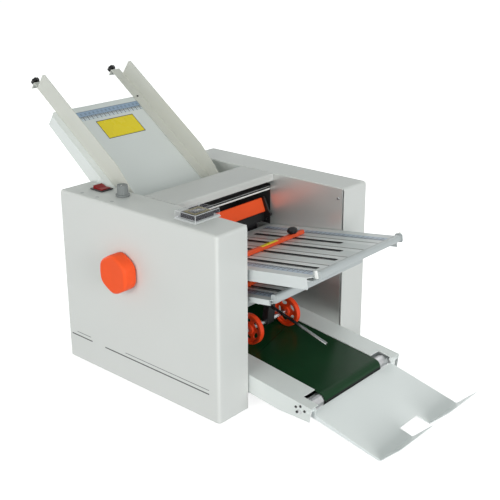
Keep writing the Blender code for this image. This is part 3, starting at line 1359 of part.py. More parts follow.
def make_press_bracket():
    """Swinging bracket: a pin in the lugs, an arm, a leg down to the axle, and the paper rod."""
    pivot = (0, 0)
    elbow = (PRESS_ELBOW_X - PRESS_PIVOT_X, PRESS_ELBOW_Z - PRESS_PIVOT_Z)
    axle_x, axle_z = press_axle_centre()
    axle = (axle_x - PRESS_PIVOT_X, axle_z - PRESS_PIVOT_Z)
    arm_outline = around([(pivot, PRESS_ARM_RADIUS - GAP), (elbow, PRESS_ARM_RADIUS)])
    arm = flat_outline([arm_outline], PRESS_ARM_WIDTH)
    place = (PRESS_PIVOT_X, 0, PRESS_PIVOT_Z)
    bracket = add_part("press_bracket", arm, "black_plastic", place, SIDE_VIEW)
    leg_outline = around([(elbow, PRESS_ARM_RADIUS - STEP), (axle, PRESS_FOOT_RADIUS)])
    leg = flat_outline([leg_outline], PRESS_FOOT_WIDTH)
    join(bracket, add_guide("press_leg", leg, parent=bracket))
    pin = cylinder(PRESS_PIN_RADIUS, PRESS_ARM_WIDTH + 2 * (RUN_GAP + EXIT_LUG_SHEET))
    join(bracket, add_guide("press_pin", pin, parent=bracket))
    half = (PRESS_WHEEL_SPACING + PRESS_WHEEL_WIDTH) / 2 + PRESS_AXLE_OVERHANG
    axle_bar = cylinder(PRESS_AXLE_RADIUS, 2 * half)
    join(bracket, add_guide("press_axle", axle_bar, (*axle, -CONVEYOR_OFFSET), parent=bracket))
    start = Vector((*elbow, -ROD_Y))
    end = Vector((ROD_END_X - PRESS_PIVOT_X, ROD_END_Z - PRESS_PIVOT_Z, -ROD_Y))
    run = end - start
    rod = add_guide("paper_rod", cylinder(ROD_RADIUS, run.length), (start + end) / 2, parent=bracket)
    rod.rotation_euler = run.to_track_quat("Z", "Y").to_euler()
    join(bracket, rod)


def make_press_wheel(name, hand):
    """Dished wheel with long holes in its web, free on the bracket's axle."""
    half = PRESS_WHEEL_WIDTH / 2
    hub_half = half + STEP
    inner = PRESS_WHEEL_RADIUS - PRESS_WHEEL_RIM
    web_top = PRESS_WHEEL_WEB / 2
    bore = PRESS_AXLE_RADIUS + GAP
    profile = [
        (bore, hub_half),
        (PRESS_WHEEL_HUB, hub_half),
        (PRESS_WHEEL_HUB, web_top),
        (inner, web_top),
        (inner + STEP, half),
        (PRESS_WHEEL_RADIUS, half),
        (PRESS_WHEEL_RADIUS, -half),
        (inner + STEP, -half),
        (inner, -web_top),
        (PRESS_WHEEL_HUB, -web_top),
        (PRESS_WHEEL_HUB, -hub_half),
        (bore, -hub_half),
        (bore, hub_half),
    ]
    left = -CONVEYOR_OFFSET - hand * PRESS_WHEEL_SPACING / 2
    place = in_side_view(press_axle_centre(), left)
    wheel = add_part(name, turned(profile, FINE_STEPS), "orange_plastic", place, SIDE_VIEW)
    for i in range(PRESS_WHEEL_HOLES):
        middle = 2 * math.pi * (i + 1 / 2) / PRESS_WHEEL_HOLES
        turns = (middle - PRESS_WHEEL_HOLE_SWEEP / 2, middle + PRESS_WHEEL_HOLE_SWEEP / 2)
        ends = [(polar((0, 0), PRESS_WHEEL_HOLE_CIRCLE, turn), PRESS_WHEEL_HOLE_RADIUS) for turn in turns]
        hole = flat_outline([around(ends, steps=PRESS_WHEEL_HOLE_STEPS)], 2 * PRESS_WHEEL_WEB)
        cut(wheel, add_guide("wheel_hole", hole, parent=wheel))


# Controls
def make_switch():
    """Power switch: a bezel snapped into the housing, and the rocker in it."""
    flange = box((SWITCH_LENGTH, SWITCH_WIDTH, SWITCH_FLANGE), edge=SWITCH_FLANGE / 4)
    top = HOUSING_TOP + GAP
    bezel = add_part("switch_bezel", flange, "black_plastic", (SWITCH_X, SWITCH_Y, top + SWITCH_FLANGE / 2))
    body = box((SWITCH_BODY_LENGTH, SWITCH_BODY_WIDTH, SWITCH_BODY_DEPTH))
    place = (SWITCH_X, SWITCH_Y, top + SWITCH_FLANGE / 2 - SWITCH_BODY_DEPTH / 2)
    join(bezel, add_guide("switch_body", body, place))
    wall = 2 * SWITCH_WALL
    depth = SWITCH_BODY_DEPTH - wall
    well = box((SWITCH_BODY_LENGTH - wall, SWITCH_BODY_WIDTH - wall, depth + OVERRUN))
    place = (SWITCH_X, SWITCH_Y, top + SWITCH_FLANGE + (OVERRUN - depth) / 2)
    cut(bezel, add_guide("switch_well", well, place))
    half = ROCKER_LENGTH / 2
    outline = [
        (-half, ROCKER_RISE),
        (-half, 0),
        (0, -ROCKER_DEPTH),
        (half, 0),
        (half, ROCKER_RISE),
        (0, ROCKER_DIP),
    ]
    pivot = (SWITCH_X, SWITCH_Y, top + SWITCH_FLANGE - ROCKER_PIVOT_DROP)
    rocker = add_part("rocker", flat_outline([outline], ROCKER_WIDTH), "red_plastic", pivot, SIDE_VIEW)
    rocker.rotation_euler = (math.pi / 2, ROCKER_TILT, 0)
    pin_half = SWITCH_BODY_WIDTH / 2 - SWITCH_WALL - GAP
    join(rocker, add_guide("rocker_pin", cylinder(SWITCH_WALL, 2 * pin_half), parent=rocker))


def make_speed_knob():
    profile = [
        (0, DIAL_HEIGHT),
        (DIAL_TOP_RADIUS - SHEET / 2, DIAL_HEIGHT),
        (DIAL_TOP_RADIUS, DIAL_HEIGHT - SHEET / 2),
        (DIAL_RADIUS, DIAL_SKIRT_HEIGHT),
        (DIAL_SKIRT_RADIUS - SHEET / 2, DIAL_SKIRT_HEIGHT - SHEET / 2),
        (DIAL_SKIRT_RADIUS, SHEET),
        (DIAL_SKIRT_RADIUS, 0),
        (DIAL_STEM_RADIUS, 0),
        (DIAL_STEM_RADIUS, -DIAL_STEM_LENGTH),
        (0, -DIAL_STEM_LENGTH),
    ]
    add_part("speed_knob", turned(profile), "grey_plastic", (DIAL_X, DIAL_Y, HOUSING_TOP + RUN_GAP))


def make_counter():
    """Sheet counter sunk into the housing's top, under a clear hinged lid."""
    top = HOUSING_TOP + GAP
    flange = box((COUNTER_LENGTH, COUNTER_WIDTH, COUNTER_FLANGE), edge=COUNTER_FLANGE / 4)
    place = (COUNTER_X, COUNTER_Y, top + COUNTER_FLANGE / 2)
    body = add_part("counter_body", flange, "black_plastic", place)
    height = COUNTER_FLANGE + COUNTER_CORE_HEIGHT + COUNTER_CORE_DEPTH
    core = box((COUNTER_CORE_LENGTH, counter_core_width(), height))
    place = (COUNTER_X, COUNTER_Y, top + COUNTER_FLANGE + COUNTER_CORE_HEIGHT - height / 2)
    join(body, add_guide("counter_core", core, place))
    window = box((COUNTER_WINDOW_LENGTH, COUNTER_WINDOW_WIDTH, 2 * COUNTER_WINDOW_DEPTH))
    place = (COUNTER_X, COUNTER_Y, top + COUNTER_FLANGE + COUNTER_CORE_HEIGHT)
    cut(body, add_guide("counter_window", window, place))
    bm = bmesh.new()
    bmesh.ops.create_cube(bm, size=1)
    lid_width = COUNTER_WIDTH - 2 * COUNTER_LID_INSET
    bmesh.ops.scale(bm, vec=(COUNTER_LID_LENGTH, lid_width, COUNTER_LID_HEIGHT), verts=bm.verts)
    bmesh.ops.translate(bm, vec=(COUNTER_LID_LENGTH / 2, 0, COUNTER_LID_HEIGHT / 2), verts=bm.verts)
    underside = [f for f in bm.faces if f.normal.z < -1 / 2]
    bmesh.ops.delete(bm, geom=underside, context="FACES")
    folds = [e for e in bm.edges if not e.is_boundary]
    bmesh.ops.bevel(bm, geom=folds, offset=COUNTER_LID_EDGE, segments=2, affect="EDGES", profile=0.5)
    hinge = (COUNTER_X - COUNTER_LID_LENGTH / 2, COUNTER_Y, top + COUNTER_FLANGE + GAP)
    lid = add_part("counter_lid", mesh_from(bm), "clear_plastic", hinge)
    add_thickness(lid, COUNTER_LID_WALL)


def make_power_inlet():
    """Mains socket in the rear wall, with its recess and three pins."""
    flange_outline = rounded(
        rectangle(
            -INLET_FLANGE_WIDTH / 2,
            -INLET_FLANGE_HEIGHT / 2,
            INLET_FLANGE_WIDTH / 2,
            INLET_FLANGE_HEIGHT / 2,
        ),
        INLET_CORNER,
    )
    rear = -GAP - INLET_FLANGE_SHEET
    turn = (math.pi / 2, 0, math.pi / 2)
    place = (-GAP - INLET_FLANGE_SHEET / 2, INLET_Y, INLET_Z)
    flange = flat_outline([flange_outline], INLET_FLANGE_SHEET)
    inlet = add_part("power_inlet", flange, "black_plastic", place, turn)
    depth = INLET_FLANGE_SHEET / 2 + INLET_BODY_DEPTH
    body = box((depth, INLET_BODY_WIDTH, INLET_BODY_HEIGHT))
    join(inlet, add_guide("inlet_body", body, (place[0] + depth / 2, INLET_Y, INLET_Z)))
    recess_depth = INLET_FLANGE_SHEET + INLET_BODY_DEPTH - INLET_WALL
    size = (recess_depth + OVERRUN, INLET_BODY_WIDTH - 2 * INLET_WALL, INLET_BODY_HEIGHT - 2 * INLET_WALL)
    centre = (rear + (recess_depth - OVERRUN) / 2, INLET_Y, INLET_Z)
    cut(inlet, add_guide("inlet_recess", box(size), centre))
    floor = rear + recess_depth
    pin_length = INLET_PIN_LENGTH + INLET_WALL / 2
    pin_size = (pin_length, INLET_PIN_WIDTH, INLET_PIN_HEIGHT)
    spots = ((-INLET_PIN_SPACING / 2, 0), (INLET_PIN_SPACING / 2, 0), (0, INLET_PIN_RISE))
    for across, up in spots:
        place = (floor + INLET_WALL / 2 - pin_length / 2, INLET_Y + across, INLET_Z + up)
        join(inlet, add_guide("inlet_pin", box(pin_size), place))


# The whole machine
def stand_over_origin():
    """Moves the machine so that its outer box is centred over the origin."""
    bpy.context.view_layer.update()
    graph = bpy.context.evaluated_depsgraph_get()
    corners = []
    for obj in parts.objects:
        if obj.type != "MESH":
            continue
        solid = obj.evaluated_get(graph)
        mesh = solid.to_mesh()
        corners += [solid.matrix_world @ v.co for v in mesh.vertices]
        solid.to_mesh_clear()
    low = [min(c[i] for c in corners) for i in range(2)]
    high = [max(c[i] for c in corners) for i in range(2)]
    machine.location = (-(low[0] + high[0]) / 2, -(low[1] + high[1]) / 2, 0)
    bpy.context.view_layer.update()


def build():
    make_left_housing()
    make_right_housing()
    make_side_plates()
    make_base_plate()
    make_feet()
    make_top_cover()
    make_cover_bar()
    make_guard()
    tray_axes = add_empty("tray_axes", in_side_view(tray_top()), (0, TRAY_SLOPE, 0), machine)
    make_feed_tray(tray_axes)
    make_separator_pad(tray_axes)
    for hand, side in ((-1, "left"), (1, "right")):
        make_guide(tray_axes, hand, side + "_guide")
        make_guide_knob(tray_axes, hand, side + "_guide_knob")
    make_feed_roller()
    make_fold_rollers()
    make_roller_gears()
    make_hand_knob()
    make_motor()
    make_motor_pulley()
    make_belts()
    upper = add_empty("upper_plate_axes", (UPPER_PLATE_X, 0, UPPER_PLATE_Z), (0, -PLATE_SLOPE, 0), machine)
    lower = add_empty("lower_plate_axes", (LOWER_PLATE_X, 0, LOWER_PLATE_Z), (0, -PLATE_SLOPE, 0), machine)
    backwards = (0, REAR_PLATE_SLOPE, math.pi)
    rear_upper = add_empty("rear_upper_axes", (REAR_UPPER_X, 0, REAR_UPPER_Z), backwards, machine)
    rear_lower = add_empty("rear_lower_axes", (REAR_LOWER_X, 0, REAR_LOWER_Z), backwards, machine)
    front_flare = (FRONT_FLARE_RUN, FRONT_FLARE_DROP)
    rear_flare = (REAR_FLARE_RUN, REAR_FLARE_DROP)
    upper_bar = (UPPER_BAR_DEPTH, UPPER_BAR_HEIGHT, BAR_CAP_RIM)
    lower_bar = (LOWER_BAR_DEPTH, LOWER_BAR_HEIGHT, 0)
    upper_slots = slot_places(UPPER_PLATE_LENGTH, UPPER_SLOT_END_SHARES)
    lower_slots = slot_places(LOWER_PLATE_LENGTH, LOWER_SLOT_END_SHARES)
    make_fold_plate(
        "upper_fold_plate", upper, UPPER_PLATE_LENGTH, UPPER_PLATE_SIDE_SPACE, UPPER_PLATE_CORNER,
        UPPER_RAIL_DEPTH, front_flare, upper_bar, upper_slots,
    )
    make_fold_plate(
        "lower_fold_plate", lower, LOWER_PLATE_LENGTH, LOWER_PLATE_SIDE_SPACE, LOWER_PLATE_CORNER,
        LOWER_RAIL_DEPTH, front_flare, lower_bar, lower_slots,
    )
    make_fold_plate(
        "rear_upper_plate", rear_upper, REAR_UPPER_LENGTH, REAR_PLATE_SIDE_SPACE, REAR_PLATE_CORNER,
        REAR_RAIL_DEPTH, rear_flare, lower_bar, (),
    )
    make_fold_plate(
        "rear_lower_plate", rear_lower, REAR_LOWER_LENGTH, REAR_PLATE_SIDE_SPACE, REAR_PLATE_CORNER,
        REAR_RAIL_DEPTH, rear_flare, lower_bar, (),
    )
    make_stop("upper_stop", upper, UPPER_STOP_SHARE * UPPER_PLATE_LENGTH, upper_slots)
    make_stop("lower_stop", lower, LOWER_STOP_SHARE * LOWER_PLATE_LENGTH, lower_slots)
    rear = (CONVEYOR_REAR_X, 0, CONVEYOR_REAR_Z)
    conveyor = add_empty("conveyor_axes", rear, (0, CONVEYOR_SLOPE, 0), machine)
    make_conveyor_frame(conveyor)
    make_conveyor_belt(conveyor)
    make_belt_rollers(conveyor)
    make_stacker_tray()
    make_exit_guide()
    make_press_bracket()
    make_press_wheel("left_press_wheel", -1)
    make_press_wheel("right_press_wheel", 1)
    make_switch()
    make_speed_knob()
    make_counter()
    make_power_inlet()
    stand_over_origin()


clear_scene()
parts = add_collection("paper_folding_machine")
cutters = add_collection("cutters")
machine = add_empty("machine", (0, 0, 0), (0, 0, 0), None)
build()
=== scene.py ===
"""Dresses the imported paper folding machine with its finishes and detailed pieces, and sets up
the studio and the camera. All sizes are in metres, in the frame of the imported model."""

import json
import math

import bmesh
import bpy
from mathutils import Matrix, Vector


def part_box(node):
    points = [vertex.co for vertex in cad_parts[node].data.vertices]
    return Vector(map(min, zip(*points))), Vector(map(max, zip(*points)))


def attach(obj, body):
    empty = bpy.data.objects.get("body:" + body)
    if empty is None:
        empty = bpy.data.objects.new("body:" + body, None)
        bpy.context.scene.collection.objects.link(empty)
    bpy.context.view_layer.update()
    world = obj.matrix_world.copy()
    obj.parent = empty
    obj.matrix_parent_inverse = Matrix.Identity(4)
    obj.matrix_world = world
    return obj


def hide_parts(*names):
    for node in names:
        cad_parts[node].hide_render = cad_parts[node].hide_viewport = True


bl_info = {
    "name": "Paper Folding Machine",
    "version": (1, 0, 0),
    "blender": (4, 5, 0),
    "location": "View3D > Sidebar > Folding Machine",
    "description": "Finishes, detailed pieces and studio for a desktop paper folding machine",
    "category": "Object",
}

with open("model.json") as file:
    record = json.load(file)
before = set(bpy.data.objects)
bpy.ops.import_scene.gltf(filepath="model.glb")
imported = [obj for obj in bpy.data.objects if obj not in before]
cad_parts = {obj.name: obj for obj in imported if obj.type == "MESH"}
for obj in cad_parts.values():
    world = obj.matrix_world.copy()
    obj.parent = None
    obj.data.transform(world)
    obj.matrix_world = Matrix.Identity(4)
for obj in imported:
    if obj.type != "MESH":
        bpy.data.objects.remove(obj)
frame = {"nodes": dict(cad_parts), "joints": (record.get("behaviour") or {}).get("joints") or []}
nodes = frame["nodes"]
joints = {joint["name"]: joint for joint in frame["joints"]}
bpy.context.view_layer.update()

# Places read from the frame
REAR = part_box("left_housing")[0].x
LEFT_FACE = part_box("left_housing")[0].y
RIGHT_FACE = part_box("right_housing")[1].y
MIDDLE = (LEFT_FACE + RIGHT_FACE) / 2
HOUSING_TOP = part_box("left_housing")[1].z
HOUSING_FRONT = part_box("left_housing")[1].x
TRAY_SLOPE = math.radians(35.84)
TRAY_TOP = Vector((REAR - 0.114, MIDDLE, 0.428))
PLATE_SLOPE = math.radians(8.25)
UPPER_PLATE = Vector((REAR + 0.210, MIDDLE, 0.2216))
LOWER_PLATE = Vector((REAR + 0.212, MIDDLE, 0.17455))
SLOTS = (0.0560, 0.0160, -0.0280, -0.0756)  # across the plates, from the middle
UPPER_SLOT_ENDS = (0.2183, 0.2476, 0.2694, 0.2688)  # along the plate
LOWER_SLOT_ENDS = (0.1950, 0.1950, 0.1950, 0.1950)


# Sizes and colours that a user would change
def colour_property(name, description, value):
    return bpy.props.FloatVectorProperty(
        name=name, description=description, subtype="COLOR", size=3, min=0, max=1, default=value
    )


def length_property(name, description, value):
    return bpy.props.FloatProperty(
        name=name, description=description, unit="LENGTH", subtype="DISTANCE", min=0, default=value
    )


class FoldingMachineColours(bpy.types.PropertyGroup):
    """Base colours of the finishes."""

    paint: colour_property("Housing Paint", "Powder paint of the housings and trays", (0.66, 0.668, 0.65))
    plate: colour_property("Plate Coating", "Pale coating of the fold plates", (0.62, 0.65, 0.65))
    tray_paint: colour_property("Tray Paint", "Paint of the feed tray and rails", (0.74, 0.77, 0.755))
    guide_paint: colour_property("Guide Paint", "Paint of the side guides", (0.61, 0.615, 0.565))
    stacker_paint: colour_property("Stacker Paint", "Paint of the catch tray", (0.83, 0.865, 0.86))
    inner_sheet: colour_property("Side Plate", "Bright inner side plates", (0.71, 0.73, 0.715))
    orange: colour_property("Orange Plastic", "Hand knob, guard, stops and press wheels", (0.90, 0.098, 0.022))
    wheel: colour_property("Wheel Orange", "Press wheels", (0.84, 0.062, 0.012))
    black: colour_property("Black Plastic", "Brackets, knobs and switch bezel", (0.014, 0.014, 0.015))
    red: colour_property("Rocker Red", "Rocker of the power switch", (0.26, 0.007, 0.009))
    belt: colour_property("Belt Green", "Delivery belt", (0.0045, 0.036, 0.011))
    rubber: colour_property("Roller Rubber", "Fold rollers and feed wheel", (0.016, 0.016, 0.018))
    grey: colour_property("Grey Plastic", "Speed knob", (0.185, 0.20, 0.20))
    aluminium: colour_property("Aluminium", "Rollers and bars", (0.70, 0.71, 0.72))
    label: colour_property("Label Yellow", "Blank labels", (0.90, 0.71, 0.005))
    ink: colour_property("Ink", "Stripes and scale marks", (0.02, 0.022, 0.03))
    scale_strip: colour_property("Scale Strip", "Strip that carries the scale marks", (0.20, 0.33, 0.52))


class FoldingMachineSizes(bpy.types.PropertyGroup):
    """Sizes of the printed marks and small details."""

    thick_stripe: length_property("Thick Stripe", "Height of the lower stripe", 0.0022)
    thin_stripe: length_property("Thin Stripe", "Height of the upper stripe", 0.0010)
    thick_stripe_z: length_property("Thick Stripe Height", "Lower stripe above the table", 0.0490)
    thin_stripe_z: length_property("Thin Stripe Height", "Upper stripe above the table", 0.0560)
    tick_width: length_property("Tick Width", "Width of a scale mark", 0.0005)
    grain: length_property("Paint Grain", "Size of the paint's fine texture", 0.0012)
    knob_hollow: length_property("Knob Hollow", "Depth of the hollows round the hand knob", 0.0017)


def colours():
    return bpy.context.scene.folding_machine_colours


def sizes():
    return bpy.context.scene.folding_machine_sizes


# Shader expressions
class Wire:
    """A shader socket that works in expressions and adds its Math nodes."""

    def __init__(self, finish, socket):
        self.finish = finish
        self.socket = socket

    def join(self, operation, first, second=0.0):
        made = self.finish.node("Math", {"operation": operation}, {0: first, 1: second})
        return Wire(self.finish, made.outputs[0])

    def __add__(self, other):
        return self.join("ADD", self, other)

    def __radd__(self, other):
        return self.join("ADD", other, self)

    def __sub__(self, other):
        return self.join("SUBTRACT", self, other)

    def __rsub__(self, other):
        return self.join("SUBTRACT", other, self)

    def __mul__(self, other):
        return self.join("MULTIPLY", self, other)

    def __rmul__(self, other):
        return self.join("MULTIPLY", other, self)

    def __truediv__(self, other):
        return self.join("DIVIDE", self, other)

    def __rtruediv__(self, other):
        return self.join("DIVIDE", other, self)

    def __gt__(self, other):
        return self.join("GREATER_THAN", self, other)

    def __lt__(self, other):
        return self.join("LESS_THAN", self, other)

    def __abs__(self):
        return self.join("ABSOLUTE", self)

    def part(self):
        """What is left after the whole number is taken away."""
        return self.join("FRACT", self)

    def least(self, other):
        return self.join("MINIMUM", self, other)

    def most(self, other):
        return self.join("MAXIMUM", self, other)

    def limited(self):
        """Kept between 0 and 1."""
        return self.least(1.0).most(0.0)

    def rise(self, low, high):
        """0 at low, 1 at high, straight between them."""
        return ((self - low) / (high - low)).limited()

    def band(self, low, high, soft=0.0002):
        """1 between low and high, with soft edges."""
        middle = (low + high) / 2
        half = (high - low) / 2
        return ((half - abs(self - middle)) / soft + 0.5).limited()

    def every(self, pitch, width, soft=0.00008):
        """1 on lines of a width that repeat at a pitch."""
        offset = abs((self / pitch + 0.5).part() - 0.5) * pitch
        return ((width / 2 - offset) / soft + 0.5).limited()


class Finish:
    """A material, or the world, whose nodes come from expressions."""

    def __init__(self, name, owner=None):
        self.material = owner or bpy.data.materials.new(name)
        self.material.use_nodes = True
        self.tree = self.material.node_tree
        self.shader = self.tree.nodes["Background" if owner else "Principled BSDF"]
        self.axes = None

    def node(self, kind, settings, sockets):
        """Adds a node, with its settings first and then its socket values and links."""
        made = self.tree.nodes.new("ShaderNode" + kind)
        for key, value in settings.items():
            if key == "stops":
                ramp = made.color_ramp.elements
                while len(ramp) < len(value):
                    ramp.new(0.5)
                for stop, (place, colour) in zip(ramp, value):
                    stop.position = place
                    stop.color = (*colour, 1)
            else:
                setattr(made, key, value)
        for key, value in sockets.items():
            self.feed(made.inputs[key], value)
        return made

    def feed(self, socket, value):
        if isinstance(value, Wire):
            self.tree.links.new(value.socket, socket)
        elif socket.type == "RGBA":
            socket.default_value = (*tuple(value)[:3], 1)
        elif socket.type == "VECTOR":
            socket.default_value = tuple(value)
        else:
            socket.default_value = value

    def place(self):
        """The point's X, Y and Z in the model's frame."""
        if self.axes is None:
            coordinates = self.node("TexCoord", {}, {})
            source = Wire(self, coordinates.outputs["Object"])
            split = self.node("SeparateXYZ", {}, {"Vector": source})
            self.axes = (source, [Wire(self, output) for output in split.outputs])
        return self.axes[1]

    def noise(self, size, detail=2.0, stretch=(1, 1, 1), roughness=0.5):
        """Soft noise whose features are about one size wide, longer where stretch is over 1."""
        self.place()
        scale = tuple(1 / s for s in stretch)
        mapped = self.node("Mapping", {}, {"Vector": self.axes[0], "Scale": scale})
        vector = Wire(self, mapped.outputs[0])
        sockets = {"Vector": vector, "Scale": 1 / size, "Detail": detail, "Roughness": roughness}
        made = self.node("TexNoise", {}, sockets)
        return Wire(self, made.outputs["Fac"])

    def seen_directly(self):
        """1 for what the camera, a mirror or glass sees."""
        path = self.node("LightPath", {}, {})
        names = ("Is Camera Ray", "Is Glossy Ray", "Is Transmission Ray")
        camera, glossy, clear = [Wire(self, path.outputs[name]) for name in names]
        return camera.most(glossy).most(clear)

    def mix(self, mask, first, second):
        """The first colour, and the second where the mask is 1."""
        made = self.node("Mix", {"data_type": "RGBA"}, {0: mask, 6: first, 7: second})
        return Wire(self, made.outputs[2])

    def shade(self, colour, amount):
        """A colour made darker or lighter by a factor about 1."""
        grey = self.node("CombineXYZ", {}, {0: amount, 1: amount, 2: amount})
        sockets = {0: 1.0, 6: colour, 7: Wire(self, grey.outputs[0])}
        made = self.node("Mix", {"data_type": "RGBA", "blend_type": "MULTIPLY"}, sockets)
        return Wire(self, made.outputs[2])

    def bump(self, height, depth, under=None, strength=1.0):
        """A normal from a height between 0 and 1 over a depth in metres."""
        sockets = {"Height": height, "Distance": depth, "Strength": strength}
        if under is not None:
            sockets["Normal"] = under
        return Wire(self, self.node("Bump", {}, sockets).outputs[0])

    def surface(self, **sockets):
        for key, value in sockets.items():
            title = key.replace("_", " ").title().replace("Ior", "IOR")
            self.feed(self.shader.inputs[title], value)
        return self.material


def tuned(colour, factor):
    return tuple(min(1, channel * factor) for channel in colour)


# Finishes
def paint_base(name, colour, grain_depth=0.00005):
    """Powder paint: a fine even grain over a faint change of tone."""
    finish = Finish(name)
    tone = finish.noise(0.16, 2.0) * 0.05 + 0.975
    body = finish.shade(colour, tone)
    grain = finish.noise(sizes().grain, 3.0)
    rough = finish.noise(0.03, 3.0) * 0.10 + 0.34
    normal = finish.bump(grain, grain_depth)
    finish.surface(specular_ior_level=0.35)
    return finish, body, rough, normal


def stripe_masks(finish):
    """The two broken stripes low on the left housing's outer face."""
    x, y, z = finish.place()
    size = sizes()
    low = z.band(size.thick_stripe_z - size.thick_stripe / 2, size.thick_stripe_z + size.thick_stripe / 2)
    low = low * x.band(REAR + 0.010, REAR + 0.067).most(x.band(REAR + 0.102, REAR + 0.356))
    high = z.band(size.thin_stripe_z - size.thin_stripe / 2, size.thin_stripe_z + size.thin_stripe / 2)
    high = high * x.band(REAR + 0.025, REAR + 0.063).most(x.band(REAR + 0.156, REAR + 0.356))
    return low.most(high) * (y < LEFT_FACE + 0.0004)


def housing_finish(name, colour, striped=False):
    finish, body, rough, normal = paint_base(name, colour)
    if striped:
        marks = stripe_masks(finish)
        body = finish.mix(marks, body, colours().ink)
        rough = rough - marks * 0.08
    return finish.surface(base_color=body, roughness=rough, normal=normal)


def ruler_marks(finish, along, across, low, high, pitch=0.001):
    """Scale marks that stand on the edge at low: every millimetre, longer at 5 and 10."""
    width = sizes().tick_width
    reach = high - low
    short = along.every(pitch, width) * across.band(low, low + reach * 0.30)
    medium = along.every(5 * pitch, width * 1.6) * across.band(low, low + reach * 0.45)
    long = along.every(10 * pitch, width * 3.2) * across.band(low, low + reach * 0.75)
    return short.most(medium).most(long)


def tray_finish(name):
    """Tray paint with its two-tone scale strip and a blank yellow label, and a painted shadow in black on its lower
    end under the top cover.
    """
    finish, body, rough, normal = paint_base(name, colours().tray_paint)
    x, y, z = finish.place()
    down = (x - TRAY_TOP.x) * math.cos(TRAY_SLOPE) - (z - TRAY_TOP.z) * math.sin(TRAY_SLOPE)
    up = (x - TRAY_TOP.x) * math.sin(TRAY_SLOPE) + (z - TRAY_TOP.z) * math.cos(TRAY_SLOPE)
    face = up > -0.0004
    across = y - MIDDLE
    width = across.band(-0.105, 0.086) * face
    strip = down.band(0.0125, 0.0255) * width
    pale = down.band(0.0255, 0.0355) * width
    marks = ruler_marks(finish, across, down, 0.0255, 0.0385) * pale
    figures = across.every(0.01, 0.0046, 0.0003) * across.every(0.0016, 0.0009, 0.0002) * down.band(0.0165, 0.0220)
    lines = down.band(0.0125, 0.0136).most(down.band(0.0245, 0.0257))
    marks = marks.most(figures.most(lines) * width * 0.65)
    label = down.band(0.042, 0.089) * across.band(-0.041, 0.051) * face
    rim = label - down.band(0.0435, 0.0875) * across.band(-0.0395, 0.0495) * face
    body = finish.mix(strip * 0.8, body, colours().scale_strip)
    body = finish.mix(pale, body, (0.62, 0.68, 0.72))
    body = finish.mix(marks * 0.8, body, colours().ink)
    body = finish.mix(label, body, colours().label)
    body = finish.mix(rim.limited(), body, colours().ink)
    # Painted shadow: the tray's lower end, under the top cover, is painted black.
    body = finish.mix(down > 0.297, body, colours().black)
    rough = rough - label * 0.12 - strip * 0.08
    edge = finish.bump(label.most(strip), 0.00012, normal)
    return finish.surface(base_color=body, roughness=rough, normal=edge)


def plate_finish(name, origin, length, slot_ends=()):
    """Pale plate coating with scale marks along both side edges, a painted highlight on the band beside each slot,
    and painted black shade in and round each slot.
    """
    finish = Finish(name)
    x, y, z = finish.place()
    run = (x - origin.x) * math.cos(PLATE_SLOPE) + (z - origin.z) * math.sin(PLATE_SLOPE)
    up = (z - origin.z) * math.cos(PLATE_SLOPE) - (x - origin.x) * math.sin(PLATE_SLOPE)
    across = abs(y - MIDDLE)
    tone = finish.noise(0.05, 3.0) * 0.10 + 0.95
    body = finish.shade(colours().plate, tone)
    face = up.band(-0.0004, 0.0006)
    strip = across.band(0.0895, 0.1065) * face * run.band(0.012, length - 0.010)
    marks = ruler_marks(finish, run, across, 0.0895, 0.1080) * strip
    body = finish.mix(strip * 0.55, body, colours().scale_strip)
    body = finish.mix(marks * 0.9, body, colours().ink)
    side = y - MIDDLE
    for slot, end in zip(SLOTS, slot_ends):
        reach = run.band(0.020, length - 0.010)
        # rim is a painted highlight on the band beside the slot; line is a dark line at its far side.
        rim = side.band(slot + 0.0035, slot + 0.0165) * face * reach
        line = side.band(slot + 0.0160, slot + 0.0188) * face * reach
        # Painted shade: the slot is painted black, reaching a little past its edges.
        painted_slot_shade = side.band(slot - 0.0058, slot + 0.0043) * run.band(0.0245, end + 0.0005)
        body = finish.mix(rim * 0.6, body, (0.78, 0.80, 0.80))
        body = finish.mix(line, body, (0.085, 0.085, 0.08))
        body = finish.mix(painted_slot_shade, body, (0.006, 0.006, 0.007))
    bar = run > length - 0.006
    body = finish.mix(bar, body, (0.42, 0.45, 0.455))
    rough = finish.noise(0.02, 3.0, (6, 1, 1)) * 0.12 + 0.26
    scratches = finish.noise(0.0007, 2.0, (40, 1, 1))
    return finish.surface(
        base_color=body, roughness=rough, normal=finish.bump(scratches, 0.00003), metallic=0.15
    )


def side_plate_finish(name):
    """Bright plated sheet with a fine drawn grain, a painted dark reflection beside the belt, and painted black
    shade round the upper rollers under the cover.
    """
    finish = Finish(name)
    x, _, z = finish.place()
    stretch = (60, 1, 1)
    lines = finish.noise(0.0008, 3.0, stretch)
    # Painted reflection: the band beside the belt is darkened for the dark belt and housing the sheet would mirror.
    painted_dark_reflection = z.band(0.078, 0.152, 0.03) * 0.42
    tone = (finish.noise(0.08, 2.0) * 0.12 + 0.94) * (1 - painted_dark_reflection)
    body = finish.shade(colours().inner_sheet, tone)
    # Painted shade: the plate is painted black round the upper rollers, where the cover shades it.
    painted_cover_shade = x.band(REAR + 0.120, UPPER_PLATE.x + 0.002, 0.001) * z.band(UPPER_PLATE.z, HOUSING_TOP - 0.021)
    body = finish.mix(painted_cover_shade, body, colours().black)
    rough = finish.noise(0.02, 3.0, stretch) * 0.16 + 0.24
    rough = painted_cover_shade * 0.25 + rough
    shine = 0.62 - painted_cover_shade * 0.62
    return finish.surface(base_color=body, roughness=rough, normal=finish.bump(lines, 0.00003), metallic=shine)


